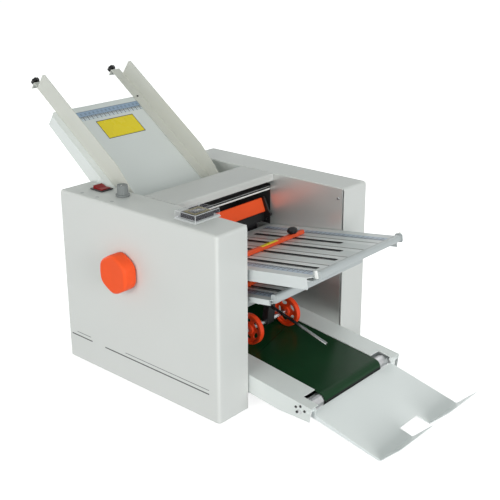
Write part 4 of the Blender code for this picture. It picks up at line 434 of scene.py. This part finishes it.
def turned_metal_finish(name, colour, rough_from=0.22):
    """Drawn or ground bar: fine lines round it."""
    finish = Finish(name)
    lines = finish.noise(0.0006, 3.0, (30, 1, 30))
    tone = finish.noise(0.03, 2.0) * 0.16 + 0.92
    rough = finish.noise(0.01, 2.0) * 0.14 + rough_from
    return finish.surface(
        base_color=finish.shade(colour, tone), roughness=rough, normal=finish.bump(lines, 0.00004), metallic=1.0
    )


def plastic_finish(name, colour, rough_from, grain=0.0005, depth=0.00003, shine=0.5):
    """Moulded plastic with a fine spark-eroded grain and faint flow marks."""
    finish = Finish(name)
    tone = finish.noise(0.02, 2.0) * 0.10 + 0.95
    rough = finish.noise(0.006, 3.0) * 0.12 + rough_from
    normal = finish.bump(finish.noise(grain, 2.0), depth)
    return finish.surface(
        base_color=finish.shade(colour, tone), roughness=rough, normal=normal, specular_ior_level=shine
    )


def stop_bar_finish(name):
    """Orange stop bar with a blank yellow label on its top."""
    finish = Finish(name)
    x, y, z = finish.place()
    up = (z - UPPER_PLATE.z) * math.cos(PLATE_SLOPE) - (x - UPPER_PLATE.x) * math.sin(PLATE_SLOPE)
    label = (y - MIDDLE).band(-0.030, 0.012) * (up > 0.0066)
    tone = finish.noise(0.02, 2.0) * 0.10 + 0.95
    body = finish.mix(label, finish.shade(colours().orange, tone), colours().label)
    rough = finish.noise(0.006, 3.0) * 0.12 + 0.30
    return finish.surface(
        base_color=body, roughness=rough, normal=finish.bump(finish.noise(0.0005, 2.0), 0.00003)
    )


def rubber_finish(name, colour, rough_from=0.55):
    """Ground rubber: matt, slightly dusty, with fine lines round the roller."""
    finish = Finish(name)
    dust = finish.noise(0.012, 4.0).rise(0.45, 0.75) * 0.35
    body = finish.mix(dust, colour, tuned(colour, 2.4))
    lines = finish.noise(0.0005, 3.0, (8, 1, 8))
    rough = finish.noise(0.01, 2.0) * 0.2 + rough_from
    return finish.surface(base_color=body, roughness=rough, normal=finish.bump(lines, 0.00005))


def roller_finish(name, node):
    """Rubber body between bright steel journals."""
    low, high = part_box(node)
    finish = Finish(name)
    _, y, _ = finish.place()
    steel = 1 - y.band(MIDDLE - 0.1244, MIDDLE + 0.1244, 0.0001)
    dust = finish.noise(0.012, 4.0).rise(0.45, 0.75) * 0.35
    rubber = finish.mix(dust, colours().rubber, tuned(colours().rubber, 2.4))
    body = finish.mix(steel, rubber, colours().aluminium)
    rough = (finish.noise(0.01, 2.0) * 0.2 + 0.5) * (1 - steel) + steel * 0.28
    lines = finish.noise(0.0005, 3.0, (8, 1, 8))
    return finish.surface(base_color=body, roughness=rough, metallic=steel, normal=finish.bump(lines, 0.00004))


def belt_finish(name):
    """Smooth green belting with a faint weave under its skin and a scarfed seam."""
    finish = Finish(name)
    x, y, z = finish.place()
    tone = finish.noise(0.04, 3.0) * 0.3 + 0.85
    body = finish.shade(colours().belt, tone)
    seam = (x + y * 0.25).band(REAR + 0.330, REAR + 0.3306)
    body = finish.mix(seam * 0.6, body, (0.002, 0.008, 0.003))
    underside = z < joints["belt_end_spin"]["pos_m"][2] + 0.003
    body = finish.mix(underside, body, (0.003, 0.006, 0.004))
    weave = x.every(0.0012, 0.0006, 0.0004) * y.every(0.0012, 0.0006, 0.0004)
    rough = finish.noise(0.02, 3.0, (4, 1, 1)) * 0.10 + 0.17
    fine = finish.bump(weave, 0.00001)
    return finish.surface(base_color=body, roughness=rough, normal=fine, specular_ior_level=0.14)


def drive_belt_finish(name):
    """Black toothed belt."""
    finish = Finish(name)
    x, _, z = finish.place()
    teeth = (x + z).every(0.003, 0.0016, 0.0004)
    tone = finish.noise(0.01, 2.0) * 0.3 + 0.85
    return finish.surface(
        base_color=finish.shade((0.02, 0.02, 0.021), tone), roughness=0.6, normal=finish.bump(teeth, 0.0003)
    )


def clear_finish(name):
    """Clear moulded plastic whose edges carry a painted highlight, pale and more opaque, with faint scuffs."""
    finish = Finish(name)
    low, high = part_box("counter_lid")
    near = 0
    for value, start_at, end_at in zip(finish.place(), low, high):
        near = (abs(value - (start_at + end_at) / 2) > (end_at - start_at) / 2 - 0.0011) + near
    # Painted highlight: the lid's edges are painted pale and made more opaque.
    edge = near > 1.5
    scuffs = finish.noise(0.004, 3.0).rise(0.55, 0.8)
    return finish.surface(
        base_color=finish.mix(edge, (0.38, 0.36, 0.44), (0.88, 0.91, 0.92)),
        roughness=scuffs * 0.15 + 0.05,
        alpha=edge * 0.55 + scuffs * 0.02 + 0.05,
    )


def bar_finish(name):
    """Black ribbed bar with a painted highlight of pale metal along its lower edge and one rib."""
    finish = Finish(name)
    low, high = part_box("cover_bar")
    x, _, z = finish.place()
    # Painted highlight: the lower edge and one rib are painted pale metal.
    bright = (z < low.z + 0.0034).most(z.band(low.z + 0.0064, low.z + 0.0072) * 0.5)
    tone = finish.noise(0.04, 2.0, (1, 8, 1)) * 0.15 + 0.9
    metal = finish.shade((0.90, 0.91, 0.89), tone)
    return finish.surface(
        base_color=finish.mix(bright, colours().black, metal),
        roughness=finish.noise(0.01, 2.0) * 0.1 + 0.45,
        metallic=bright * 0.2,
        normal=finish.bump(z.every(0.003, 0.0012, 0.0003), 0.0003),
        specular_ior_level=0.2,
    )


def counter_finish(name):
    """Black counter core over its pale flange."""
    finish = Finish(name)
    low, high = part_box("counter_body")
    _, _, z = finish.place()
    flange = z < high.z - 0.0085
    body = finish.mix(flange, colours().black, (0.60, 0.62, 0.62))
    rough = finish.noise(0.006, 3.0) * 0.12 + 0.3
    return finish.surface(
        base_color=body, roughness=rough, normal=finish.bump(finish.noise(0.0005, 2.0), 0.00003)
    )


def bracket_finish(name):
    """Black bracket whose axle is bright steel and whose rod is dark below X 0.148 and bright steel past X 0.158.
    """
    finish = Finish(name)
    x, y, z = finish.place()
    axle_y = joints["left_wheel_spin"]["pos_m"]
    rod = x > REAR + 0.326
    ends = abs(y - MIDDLE) > 0.0092
    near_axle = abs(x - axle_y[0]).rise(0.006, 0.0058)
    # The rod is darker where X is below 0.148 and bright steel beyond 0.158.
    rod_turns_bright = x.rise(0.148, 0.158)
    steel = rod.most(ends * near_axle)
    tone = finish.noise(0.01, 2.0) * 0.2 + 0.9
    black = finish.shade(colours().black, tone)
    metal = finish.mix((1 - rod_turns_bright) * rod, colours().aluminium, (0.10, 0.10, 0.11))
    body = finish.mix(steel, black, metal)
    rough = steel * -0.14 + 0.38
    fine = finish.bump(finish.noise(0.0008, 2.0), 0.00003)
    return finish.surface(base_color=body, roughness=rough, metallic=steel, normal=fine)


def inlet_finish(name):
    """Black socket with plated pins in its recess."""
    finish = Finish(name)
    x, y, z = finish.place()
    low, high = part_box("power_inlet")
    middle_y = (low.y + high.y) / 2
    middle_z = (low.z + high.z) / 2
    pins = (abs(y - middle_y) < 0.0085) * (abs(z - middle_z) < 0.0055) * (x > low.x + 0.006) * (x < high.x - 0.002)
    body = finish.mix(pins, colours().black, (0.75, 0.68, 0.5))
    fine = finish.bump(finish.noise(0.0006, 2.0), 0.00003)
    return finish.surface(base_color=body, roughness=0.35, metallic=pins, normal=fine)


# Modelling steps
def start():
    """Leaves edit mode with nothing selected."""
    if bpy.context.mode != "OBJECT":
        bpy.ops.object.mode_set(mode="OBJECT")
    bpy.ops.object.select_all(action="DESELECT")


def opened(name):
    """Names the object just added, applies its size and opens it in edit mode."""
    piece = bpy.context.object
    piece.name = name
    piece.data.name = name
    bpy.ops.object.transform_apply(location=True, rotation=True, scale=True)
    bpy.ops.object.mode_set(mode="EDIT")
    return piece


def reopened(piece):
    """Opens a piece in edit mode again."""
    start()
    piece.select_set(True)
    bpy.context.view_layer.objects.active = piece
    bpy.ops.object.mode_set(mode="EDIT")


def add_cylinder(name, radius, low, high, steps=32, place=(0, 0)):
    """An upright cylinder between two heights."""
    start()
    middle = (place[0], place[1], (low + high) / 2)
    bpy.ops.mesh.primitive_cylinder_add(vertices=steps, radius=radius, depth=high - low, location=middle)
    return opened(name)


def add_box(name, size, middle):
    start()
    bpy.ops.mesh.primitive_cube_add(size=1, location=middle, scale=size)
    return opened(name)


def pick(piece, test, kind="FACE"):
    """Selects the faces or corners whose place and normal pass a test."""
    bpy.ops.mesh.select_mode(type=kind)
    bpy.ops.mesh.select_all(action="DESELECT")
    mesh = bmesh.from_edit_mesh(piece.data)
    if kind == "FACE":
        chosen = [face for face in mesh.faces if test(face.calc_center_median(), face.normal)]
    else:
        chosen = [corner for corner in mesh.verts if test(corner.co, corner.normal)]
    if not chosen:
        raise RuntimeError(f"nothing to shape on {piece.name}")
    for item in chosen:
        item.select_set(True)
    mesh.select_flush_mode()
    bmesh.update_edit_mesh(piece.data)


def pick_top(piece, within=1.0):
    """Selects the highest upright face near the axis."""
    mesh = bmesh.from_edit_mesh(piece.data)
    top = max(face.calc_center_median().z for face in mesh.faces if face.normal.z > 0.9)
    pick(piece, lambda c, n: n.z > 0.9 and c.z > top - 1e-5 and math.hypot(c.x, c.y) < within)


def use_modifier(piece, kind, **settings):
    """Adds a modifier with its settings and applies it."""
    start()
    piece.select_set(True)
    bpy.context.view_layer.objects.active = piece
    modifier = piece.modifiers.new("shape", kind)
    for key, value in settings.items():
        setattr(modifier, key, value)
    bpy.ops.object.modifier_apply(modifier=modifier.name)


def soften(piece, width, segments=2, angle=30):
    use_modifier(
        piece, "BEVEL", width=width, segments=segments, limit_method="ANGLE", angle_limit=math.radians(angle)
    )


def cut_out(piece, tool):
    """Takes one piece's shape out of another and removes it."""
    use_modifier(piece, "BOOLEAN", operation="DIFFERENCE", solver="EXACT", object=tool)
    bpy.data.objects.remove(tool)


def joined(piece, others):
    """Makes one object of several pieces."""
    start()
    for other in (*others, piece):
        other.select_set(True)
    bpy.context.view_layer.objects.active = piece
    bpy.ops.object.join()
    return piece


def copied(piece, name):
    """A second piece with a mesh of its own."""
    start()
    piece.select_set(True)
    bpy.context.view_layer.objects.active = piece
    bpy.ops.object.duplicate(linked=False)
    twin = bpy.context.object
    twin.name = name
    twin.data.name = name
    return twin


def settled(piece, body, material, place=(0, 0, 0), turn=(0, 0, 0), smooth=35):
    """Puts a shaped piece in its place on a moving body, with its finish."""
    start()
    piece.select_set(True)
    bpy.context.view_layer.objects.active = piece
    piece.rotation_euler = turn
    piece.location = place
    bpy.ops.object.transform_apply(location=True, rotation=True, scale=True)
    bpy.ops.object.shade_smooth_by_angle(angle=math.radians(smooth))
    piece.data.materials.clear()
    piece.data.materials.append(bpy.data.materials[material])
    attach(piece, body)
    return piece


SIDEWAYS = (math.pi / 2, 0, 0)  # turns a piece's own Z to the left side


# Operators
class FOLDING_OT_hand_knob(bpy.types.Operator):
    """Model the hand knob on the second fold roller"""

    bl_idname = "folding.hand_knob"
    bl_label = "Add Hand Knob"

    def execute(self, context):
        low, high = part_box("hand_knob")
        length = high.y - low.y
        radius = (high.z - low.z) / 2
        knob = add_cylinder("hand_knob_grip", radius, 0, length, 72)
        for phase in range(1, 7):
            hollow = (1 - math.cos(math.pi * phase / 6)) / 2
            share = 1 - sizes().knob_hollow * hollow / radius
            pick(knob, lambda c, n: lobe_phase(c, 6, 12) == phase, "VERT")
            bpy.ops.transform.resize(value=(share, share, 1))
        soften(knob, 0.0050, 7, 60)
        reopened(knob)
        pick_top(knob)
        bpy.ops.mesh.inset(thickness=radius * 0.12)
        bpy.ops.transform.translate(value=(0, 0, -0.0003))
        place = ((low.x + high.x) / 2, high.y, (low.z + high.z) / 2)
        settled(knob, "roller_2", "moulded_orange", place, SIDEWAYS)
        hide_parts("hand_knob")
        return {"FINISHED"}


def lobe_phase(corner, lobes, steps):
    """How many steps a corner lies from the middle of its lobe. One lobe points up."""
    turn = (math.atan2(corner.y, corner.x) - math.pi / 2) * lobes * steps / (2 * math.pi)
    step = round(turn) % steps
    return min(step, steps - step)


class FOLDING_OT_guide_knobs(bpy.types.Operator):
    """Model one guide's thumb screw and copy it for the other guide"""

    bl_idname = "folding.guide_knobs"
    bl_label = "Add Guide Knobs"

    def execute(self, context):
        hub_end = -0.0043
        knob = add_cylinder("left_guide_thumb_screw", 0.0084, hub_end - 0.0086, hub_end, 84)
        for hand in (1, -1):
            pick(knob, lambda c, n: n.z * hand > 0.99)
            bpy.ops.mesh.inset(thickness=0.0036)
            bpy.ops.transform.translate(value=(0, 0, -0.0005 * hand))
        for phase in range(1, 7):
            share = 1 - 0.0011 * (1 - math.cos(math.pi * phase / 6)) / 2 / 0.0084
            pick(knob, lambda c, n: lobe_phase(c, 7, 12) == phase, "VERT")
            bpy.ops.transform.resize(value=(share, share, 1))
        soften(knob, 0.0024, 4, 60)
        hub = add_cylinder("guide_hub", 0.0042, hub_end - 0.0010, -0.0003, 32)
        soften(hub, 0.0003)
        stem = add_cylinder("guide_stem", 0.0019, -0.0010, 0.0136, 24)
        soften(stem, 0.0004)
        joined(knob, [hub, stem])
        twin = copied(knob, "right_guide_thumb_screw")
        for piece, side in ((knob, "left"), (twin, "right")):
            place = joints[side + "_guide_screw_turn"]["pos_m"]
            turn = (0, math.pi / 2 + TRAY_SLOPE, 0)
            settled(piece, side + "_guide_screw", "moulded_black", place, turn)
            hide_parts(side + "_guide_knob")
        return {"FINISHED"}


class FOLDING_OT_press_wheels(bpy.types.Operator):
    """Model one press wheel and copy it for the other side"""

    bl_idname = "folding.press_wheels"
    bl_label = "Add Press Wheels"

    def execute(self, context):
        low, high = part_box("left_press_wheel")
        radius = (high.z - low.z) / 2
        half = (high.y - low.y) / 2
        wheel = add_cylinder("left_wheel_disc", radius, -half + 0.0002, half - 0.0002, 64)
        for hand in (1, -1):
            pick(wheel, lambda c, n: n.z * hand > 0.9)
            bpy.ops.mesh.inset(thickness=0.0034)
            bpy.ops.mesh.inset(thickness=0.0007)
            bpy.ops.transform.translate(value=(0, 0, -0.0029 * hand))
            bpy.ops.mesh.inset(thickness=0.0144)
            bpy.ops.mesh.inset(thickness=0.0007)
            bpy.ops.transform.translate(value=(0, 0, 0.0030 * hand))
            bpy.ops.mesh.inset(thickness=0.0040)
        pick(wheel, lambda c, n: abs(n.z) > 0.9 and math.hypot(c.x, c.y) < 0.001)
        bpy.ops.mesh.bridge_edge_loops()
        for i in range(5):
            turn = 2 * math.pi * (i + 0.5) / 5
            hole = add_cylinder(f"wheel_hole_{i}", 0.0038, -half, half, 32)
            bpy.ops.mesh.select_all(action="SELECT")
            bpy.ops.transform.resize(value=(1, 1.75, 1))
            start()
            hole.rotation_euler = (0, 0, turn)
            hole.location = (0.0158 * math.cos(turn), 0.0158 * math.sin(turn), 0)
            cut_out(wheel, hole)
        soften(wheel, 0.0005, 3, 40)
        twin = copied(wheel, "right_wheel_disc")
        for piece, side in ((wheel, "left"), (twin, "right")):
            place = joints[side + "_wheel_spin"]["pos_m"]
            settled(piece, side + "_wheel", "wheel_plastic", place, SIDEWAYS)
            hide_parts(side + "_press_wheel")
        return {"FINISHED"}


class FOLDING_OT_speed_knob(bpy.types.Operator):
    """Model the fluted speed knob with its pointer"""

    bl_idname = "folding.speed_knob"
    bl_label = "Add Speed Knob"

    def execute(self, context):
        low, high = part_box("speed_knob")
        radius = (high.x - low.x) / 2
        x, y, z = joints["speed_turn"]["pos_m"]
        height = high.z - z
        knob = add_cylinder("speed_knob_grip", radius, 0, 0.0034, 72)
        pick_top(knob)
        bpy.ops.mesh.inset(thickness=radius - 0.0098)
        bpy.ops.mesh.extrude_region_move(TRANSFORM_OT_translate={"value": (0, 0, height - 0.0038)})
        bpy.ops.transform.resize(value=(0.95, 0.95, 1))
        pick(knob, lambda c, n: c.z > 0.003 and math.hypot(c.x, c.y) < 0.0105 and lobe_phase(c, 18, 4) == 2, "VERT")
        bpy.ops.transform.resize(value=(0.945, 0.945, 1))
        pick_top(knob)
        bpy.ops.mesh.inset(thickness=0.0014)
        bpy.ops.transform.translate(value=(0, 0, -0.0004))
        start()
        soften(knob, 0.0003, 2, 50)
        stem = add_cylinder("speed_knob_stem", 0.003, low.z - z, 0.0002, 24)
        joined(knob, [stem])
        settled(knob, "speed_dial", "speed_knob_plastic", (x, y, z))
        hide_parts("speed_knob")
        pointer = add_box("speed_pointer", (0.0052, 0.0010, 0.0006), (0.0052, 0, height - 0.0005))
        soften(pointer, 0.00015)
        settled(pointer, "speed_dial", "white_ink", (x, y, z), (0, 0, math.radians(-60)))
        return {"FINISHED"}


class FOLDING_OT_counter_face(bpy.types.Operator):
    """Model the counter's frame, window and digits under its lid"""

    bl_idname = "folding.counter_face"
    bl_label = "Add Counter Face"

    def execute(self, context):
        low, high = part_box("counter_body")
        middle = Vector(((low.x + high.x) / 2, (low.y + high.y) / 2, high.z))
        rim = add_box("counter_rim", (0.026, 0.034, 0.0012), (0, 0, 0.0008))
        pick_top(rim)
        bpy.ops.mesh.inset(thickness=0.0040)
        bpy.ops.transform.translate(value=(0, 0, -0.0008))
        soften(rim, 0.0003)
        settled(rim, "frame", "counter_rim_plastic", middle)
        window = add_box("counter_window", (0.0160, 0.0250, 0.0006), (0, 0, 0.0008))
        soften(window, 0.0002)
        settled(window, "frame", "window_glass", middle)
        digits = add_text("counter_digits", "0000", 0.0066, 0.0001)
        settled(digits, "frame", "white_ink", middle + Vector((0, 0, 0.0012)), (0, 0, math.pi / 2))
        return {"FINISHED"}


def add_text(name, words, height, thickness):
    """Flat figures as a mesh, centred on the origin."""
    start()
    bpy.ops.object.text_add(location=(0, 0, 0))
    text = bpy.context.object
    text.data.body = words
    text.data.size = height
    text.data.align_x = "CENTER"
    text.data.align_y = "CENTER"
    text.data.extrude = thickness / 2
    bpy.ops.object.convert(target="MESH")
    piece = bpy.context.object
    piece.name = name
    piece.data.name = name
    bpy.ops.object.mode_set(mode="EDIT")
    bpy.ops.mesh.select_all(action="SELECT")
    bpy.ops.mesh.remove_doubles(threshold=1e-6)
    bpy.ops.mesh.normals_make_consistent(inside=False)
    start()
    return piece


class FOLDING_OT_screws(bpy.types.Operator):
    """Model one pan-head screw and copy it to each place"""

    bl_idname = "folding.screws"
    bl_label = "Add Screws"

    def execute(self, context):
        screw = add_cylinder("screw_model", 0.0026, 0, 0.0014, 32)
        pick_top(screw)
        bpy.ops.mesh.inset(thickness=0.0007)
        start()
        soften(screw, 0.0006, 3, 50)
        for turn in (0, math.pi / 2):
            slot = add_box("screw_slot", (0.0026, 0.0006, 0.0012), (0, 0, 0.0016))
            start()
            slot.rotation_euler = (0, 0, turn)
            cut_out(screw, slot)
        for name, node, body, near, scale, material in SCREWS:
            place, aim = on_surface(node, near)
            twin = copied(screw, name)
            twin.scale = (scale, scale, 1)
            settled(twin, body, material, place, aim)
        bpy.data.objects.remove(screw)
        return {"FINISHED"}


def on_surface(node, near):
    """The nearest place on a part's surface, and the turn of a piece that stands there."""
    found, place, facing, _ = nodes[node].closest_point_on_mesh(Vector(near))
    if not found:
        raise RuntimeError(f"no surface of {node} near {near}")
    return place, Vector((0, 0, 1)).rotation_difference(facing).to_euler()


BEARING_SCREWS = ((0.2421, 0.0420), (0.2512, 0.0458), (0.2594, 0.0400), (0.2442, 0.0338))

# Name, part, body, place, share of full size, finish
SCREWS = [
    ("right_plate_screw", "right_side_plate", "frame", (0.1324, 0.138, 0.3016), 0.9, "screw_steel"),
    ("right_guide_screw_head", "right_guide", "right_side_guide", (-0.342, 0.1075, 0.4305), 0.8, "dark_screw"),
    *[
        (f"bearing_screw_{hand}_{number}", "conveyor_frame", "frame", (x, y, z), 0.85, "dark_screw")
        for hand, y in (("left", -0.1120), ("right", 0.1395))
        for number, (x, z) in enumerate(BEARING_SCREWS)
    ],
]


class FOLDING_OT_plugs(bpy.types.Operator):
    """Model one flat plug and copy it along the housing's top"""

    bl_idname = "folding.plugs"
    bl_label = "Add Housing Plugs"

    def execute(self, context):
        plug = add_cylinder("plug_model", 0.0030, 0, 0.0007, 32)
        pick_top(plug)
        bpy.ops.mesh.inset(thickness=0.0009)
        bpy.ops.transform.translate(value=(0, 0, -0.0003))
        soften(plug, 0.0002)
        for number, x in enumerate((-0.1845, -0.1447, -0.1068)):
            place, aim = on_surface("left_housing", (x, -0.1700, HOUSING_TOP + 0.001))
            settled(copied(plug, f"housing_plug_{number + 1}"), "frame", "plug_plastic", place, aim)
        bpy.data.objects.remove(plug)
        return {"FINISHED"}


class FOLDING_OT_bar_caps(bpy.types.Operator):
    """Model the white cap on one end of the upper plate's bar and copy it to the other"""

    bl_idname = "folding.bar_caps"
    bl_label = "Add Bar Caps"

    def execute(self, context):
        cap = add_box("bar_cap", (0.0060, 0.0030, 0.0124), (0, 0, 0))
        pick(cap, lambda c, n: n.z > 0.9)
        bpy.ops.transform.resize(value=(0.55, 1, 1))
        soften(cap, 0.0005, 3)
        for side, y in (("left", -0.0996), ("right", 2 * MIDDLE + 0.0996)):
            place = (0.2680, y, 0.2678)
            twin = copied(cap, side + "_bar_cap")
            settled(twin, "frame", "cap_plastic", place, (0, -PLATE_SLOPE, 0))
        bpy.data.objects.remove(cap)
        return {"FINISHED"}


class FOLDING_OT_finishes(bpy.types.Operator):
    """Give every part of the frame its finish"""

    bl_idname = "folding.finishes"
    bl_label = "Finish the Frame"

    def execute(self, context):
        c = colours()
        finishes = {
            "left_housing": housing_finish("left_housing_paint", c.paint, True),
            "feed_tray": tray_finish("tray_coat"),
            "conveyor_frame": housing_finish("rail_coat", c.tray_paint),
            "stacker_tray": housing_finish("stacker_coat", c.stacker_paint),
            "upper_fold_plate": plate_finish("upper_plate_coating", UPPER_PLATE, 0.2943, UPPER_SLOT_ENDS),
            "lower_fold_plate": plate_finish("lower_plate_coating", LOWER_PLATE, 0.2122, LOWER_SLOT_ENDS),
            "cover_bar": bar_finish("cover_bar_aluminium"),
            "press_bracket": bracket_finish("press_bracket_metal"),
            "power_inlet": inlet_finish("inlet_plastic"),
            "conveyor_belt": belt_finish("belt_skin"),
            "counter_lid": clear_finish("lid_plastic"),
            "speed_knob": plastic_finish("speed_knob_plastic", c.grey, 0.40, shine=0.3),
            "rocker": plastic_finish("rocker_plastic", c.red, 0.34, shine=0.2),
            "motor": plastic_finish("motor_enamel", (0.04, 0.04, 0.045), 0.35, 0.0008, 0.00006),
            "counter_body": counter_finish("counter_plastic"),
            "switch_bezel": plastic_finish("bezel_plastic", c.black, 0.3),
            "guard_frame": plastic_finish("guard_bracket_plastic", tuned(c.black, 0.5), 0.4),
            "separator_pad": rubber_finish("pad_rubber", (0.05, 0.03, 0.02), 0.7),
            "upper_stop_bar": stop_bar_finish("stop_bar_plastic"),
            "belt_end_roller": turned_metal_finish("end_roller_metal", tuned(c.aluminium, 0.72)),
            "belt_drive_roller": turned_metal_finish("drive_roller_metal", c.aluminium, 0.3),
            "motor_pulley": turned_metal_finish("motor_pulley_metal", c.aluminium, 0.3),
            "feed_roller": rubber_finish("feed_rubber", c.rubber),
        }
        groups = [
            (housing_finish("machine_paint", c.paint), ["right_housing", "base_plate"]),
            # The top cover has the housings' paint, darkened to 0.88 as painted shade.
            (housing_finish("cover_paint", tuned(c.paint, 0.88)), ["top_cover"]),
            (housing_finish("guide_coat", c.guide_paint), ["left_guide", "right_guide"]),
            (side_plate_finish("side_plate_metal"), ["left_side_plate", "right_side_plate"]),
            (plate_finish("rear_plate_coating", LOWER_PLATE, 0.0), [
                "rear_upper_plate", "rear_lower_plate", "exit_guide",
            ]),
            (plastic_finish("moulded_orange", c.orange, 0.42, shine=0.16), [
                "hand_knob", "guard_plate", "lower_stop_bar",
            ]),
            (plastic_finish("wheel_plastic", c.wheel, 0.35, shine=0.25), ["left_press_wheel", "right_press_wheel"]),
            (plastic_finish("moulded_black", tuned(c.black, 0.5), 0.30, shine=0.25), [
                "upper_stop_knob", "lower_stop_knob", "left_guide_knob", "right_guide_knob",
            ]),
            (rubber_finish("foot_tread", (0.02, 0.02, 0.02)), [
                "foot_front_left", "foot_front_right", "foot_rear_left", "foot_rear_right",
            ]),
            (drive_belt_finish("toothed_belt"), ["drive_belt", "feed_belt"]),
            (plastic_finish("gear_nylon", (0.76, 0.74, 0.68), 0.35), [f"roller_gear_{i}" for i in range(1, 7)]),
        ]
        for number in range(1, 7):
            node = f"fold_roller_{number}"
            finishes[node] = roller_finish(node + "_rubber", node)
        for material, names in groups:
            for name in names:
                finishes[name] = material
        plastic_finish("white_ink", (0.80, 0.80, 0.78), 0.5)
        plastic_finish("counter_rim_plastic", (0.27, 0.235, 0.12), 0.4, shine=0.2)
        plastic_finish("window_glass", (0.03, 0.035, 0.035), 0.08, depth=0.000005)
        plastic_finish("plug_plastic", (0.44, 0.455, 0.45), 0.4)
        plastic_finish("cap_plastic", (0.84, 0.84, 0.82), 0.35)
        turned_metal_finish("screw_steel", (0.30, 0.30, 0.31), 0.25)
        plastic_finish("dark_screw", (0.012, 0.012, 0.013), 0.3)
        for name, node in nodes.items():
            node.data.materials.clear()
            node.data.materials.append(finishes[name])
        return {"FINISHED"}


class FOLDING_OT_stage(bpy.types.Operator):
    """Set up the floor, the studio light and the camera"""

    bl_idname = "folding.stage"
    bl_label = "Set Up the Studio"

    def execute(self, context):
        scene = context.scene
        scene.view_settings.view_transform = "Standard"
        make_floor()
        make_world(scene)
        make_lamps()
        make_camera(scene)
        return {"FINISHED"}


def make_floor():
    """Pale paper that lights the model softly and looks white, with the model's shadow on it."""
    start()
    bpy.ops.mesh.primitive_plane_add(size=14, location=(0, 0, 0))
    floor = bpy.context.object
    floor.name = "studio_floor"
    finish = Finish("floor_paper")
    seen = finish.seen_directly()
    body = finish.mix(seen, (0.54, 0.57, 0.61), (0.80, 0.80, 0.80))
    glow = finish.mix(seen, (0.0, 0.0, 0.0), (0.82, 0.82, 0.82))
    finish.surface(
        base_color=body, roughness=0.9, specular_ior_level=0.0, emission_color=glow, emission_strength=1.0
    )
    floor.data.materials.append(finish.material)


def make_world(scene):
    world = bpy.data.worlds.new("studio_world")
    finish = Finish("studio_world", world)
    sky = finish.mix(finish.seen_directly(), (0.25, 0.285, 0.275), (1.0, 1.0, 1.0))
    finish.feed(finish.shader.inputs["Color"], sky)
    scene.world = world


def make_lamp(name, place, aim, size, power, tint=(1, 1, 1)):
    bpy.ops.object.light_add(type="AREA", location=place)
    lamp = bpy.context.object
    lamp.name = name
    lamp.data.size = size
    lamp.data.energy = power
    lamp.data.color = tint
    direction = Vector(aim) - Vector(place)
    lamp.rotation_euler = direction.to_track_quat("-Z", "Y").to_euler()


def make_lamps():
    make_lamp("left_softbox", (0.2, -3.0, 0.9), (0, 0, 0.2), 1.8, 46, (1.0, 0.985, 0.96))
    make_lamp("front_softbox", (3.0, -0.7, 0.9), (0, 0, 0.2), 1.6, 56, (1.0, 0.995, 0.985))
    make_lamp("rear_softbox", (-2.9, -0.2, 0.8), (0, 0, 0.2), 1.8, 36)
    make_lamp("right_softbox", (-0.2, 3.0, 0.8), (0, 0, 0.2), 1.8, 32)


def make_camera(scene):
    azimuth = math.radians(42.359)
    elevation = math.radians(18.625)
    roll = math.radians(-0.553)
    back = Vector((
        math.sin(azimuth) * math.cos(elevation),
        -math.cos(azimuth) * math.cos(elevation),
        math.sin(elevation),
    ))
    right = Vector((math.cos(azimuth), math.sin(azimuth), 0))
    up = back.cross(right)
    turned_right = right * math.cos(roll) + up * math.sin(roll)
    turned_up = up * math.cos(roll) - right * math.sin(roll)
    axes = Matrix((turned_right, turned_up, back)).transposed().to_4x4()
    place = Vector((REAR + 1.2623, MIDDLE - 1.1249, 0.7788))
    data = bpy.data.cameras.new("photo_camera")
    camera = bpy.data.objects.new("photo_camera", data)
    scene.collection.objects.link(camera)
    camera.matrix_world = Matrix.Translation(place) @ axes
    data.sensor_width = 36
    data.lens = 918.41 / 500 * data.sensor_width
    data.shift_x = (250 - 235.0) / 500
    data.shift_y = (220.1 - 250) / 500
    data.clip_end = 50
    scene.camera = camera


class FOLDING_PT_panel(bpy.types.Panel):
    """Lists the machine's operators, colours and sizes"""

    bl_idname = "FOLDING_PT_panel"
    bl_label = "Folding Machine"
    bl_space_type = "VIEW_3D"
    bl_region_type = "UI"
    bl_category = "Folding Machine"

    def draw(self, context):
        for operator in OPERATORS:
            self.layout.operator(operator.bl_idname)
        for group in (colours(), sizes()):
            box = self.layout.box()
            for name in group.bl_rna.properties.keys():
                if name not in ("rna_type", "name"):
                    box.prop(group, name)


OPERATORS = (
    FOLDING_OT_finishes,
    FOLDING_OT_hand_knob,
    FOLDING_OT_guide_knobs,
    FOLDING_OT_press_wheels,
    FOLDING_OT_speed_knob,
    FOLDING_OT_counter_face,
    FOLDING_OT_screws,
    FOLDING_OT_plugs,
    FOLDING_OT_bar_caps,
    FOLDING_OT_stage,
)
CLASSES = (FoldingMachineColours, FoldingMachineSizes, *OPERATORS, FOLDING_PT_panel)


def register():
    for cls in CLASSES:
        bpy.utils.register_class(cls)
    bpy.types.Scene.folding_machine_colours = bpy.props.PointerProperty(type=FoldingMachineColours)
    bpy.types.Scene.folding_machine_sizes = bpy.props.PointerProperty(type=FoldingMachineSizes)


def unregister():
    del bpy.types.Scene.folding_machine_sizes
    del bpy.types.Scene.folding_machine_colours
    for cls in reversed(CLASSES):
        bpy.utils.unregister_class(cls)


def main():
    register()
    bpy.ops.folding.finishes()
    bpy.ops.folding.hand_knob()
    bpy.ops.folding.guide_knobs()
    bpy.ops.folding.press_wheels()
    bpy.ops.folding.speed_knob()
    bpy.ops.folding.counter_face()
    bpy.ops.folding.screws()
    bpy.ops.folding.plugs()
    bpy.ops.folding.bar_caps()
    bpy.ops.folding.stage()


if __name__ == "__main__":
    main()
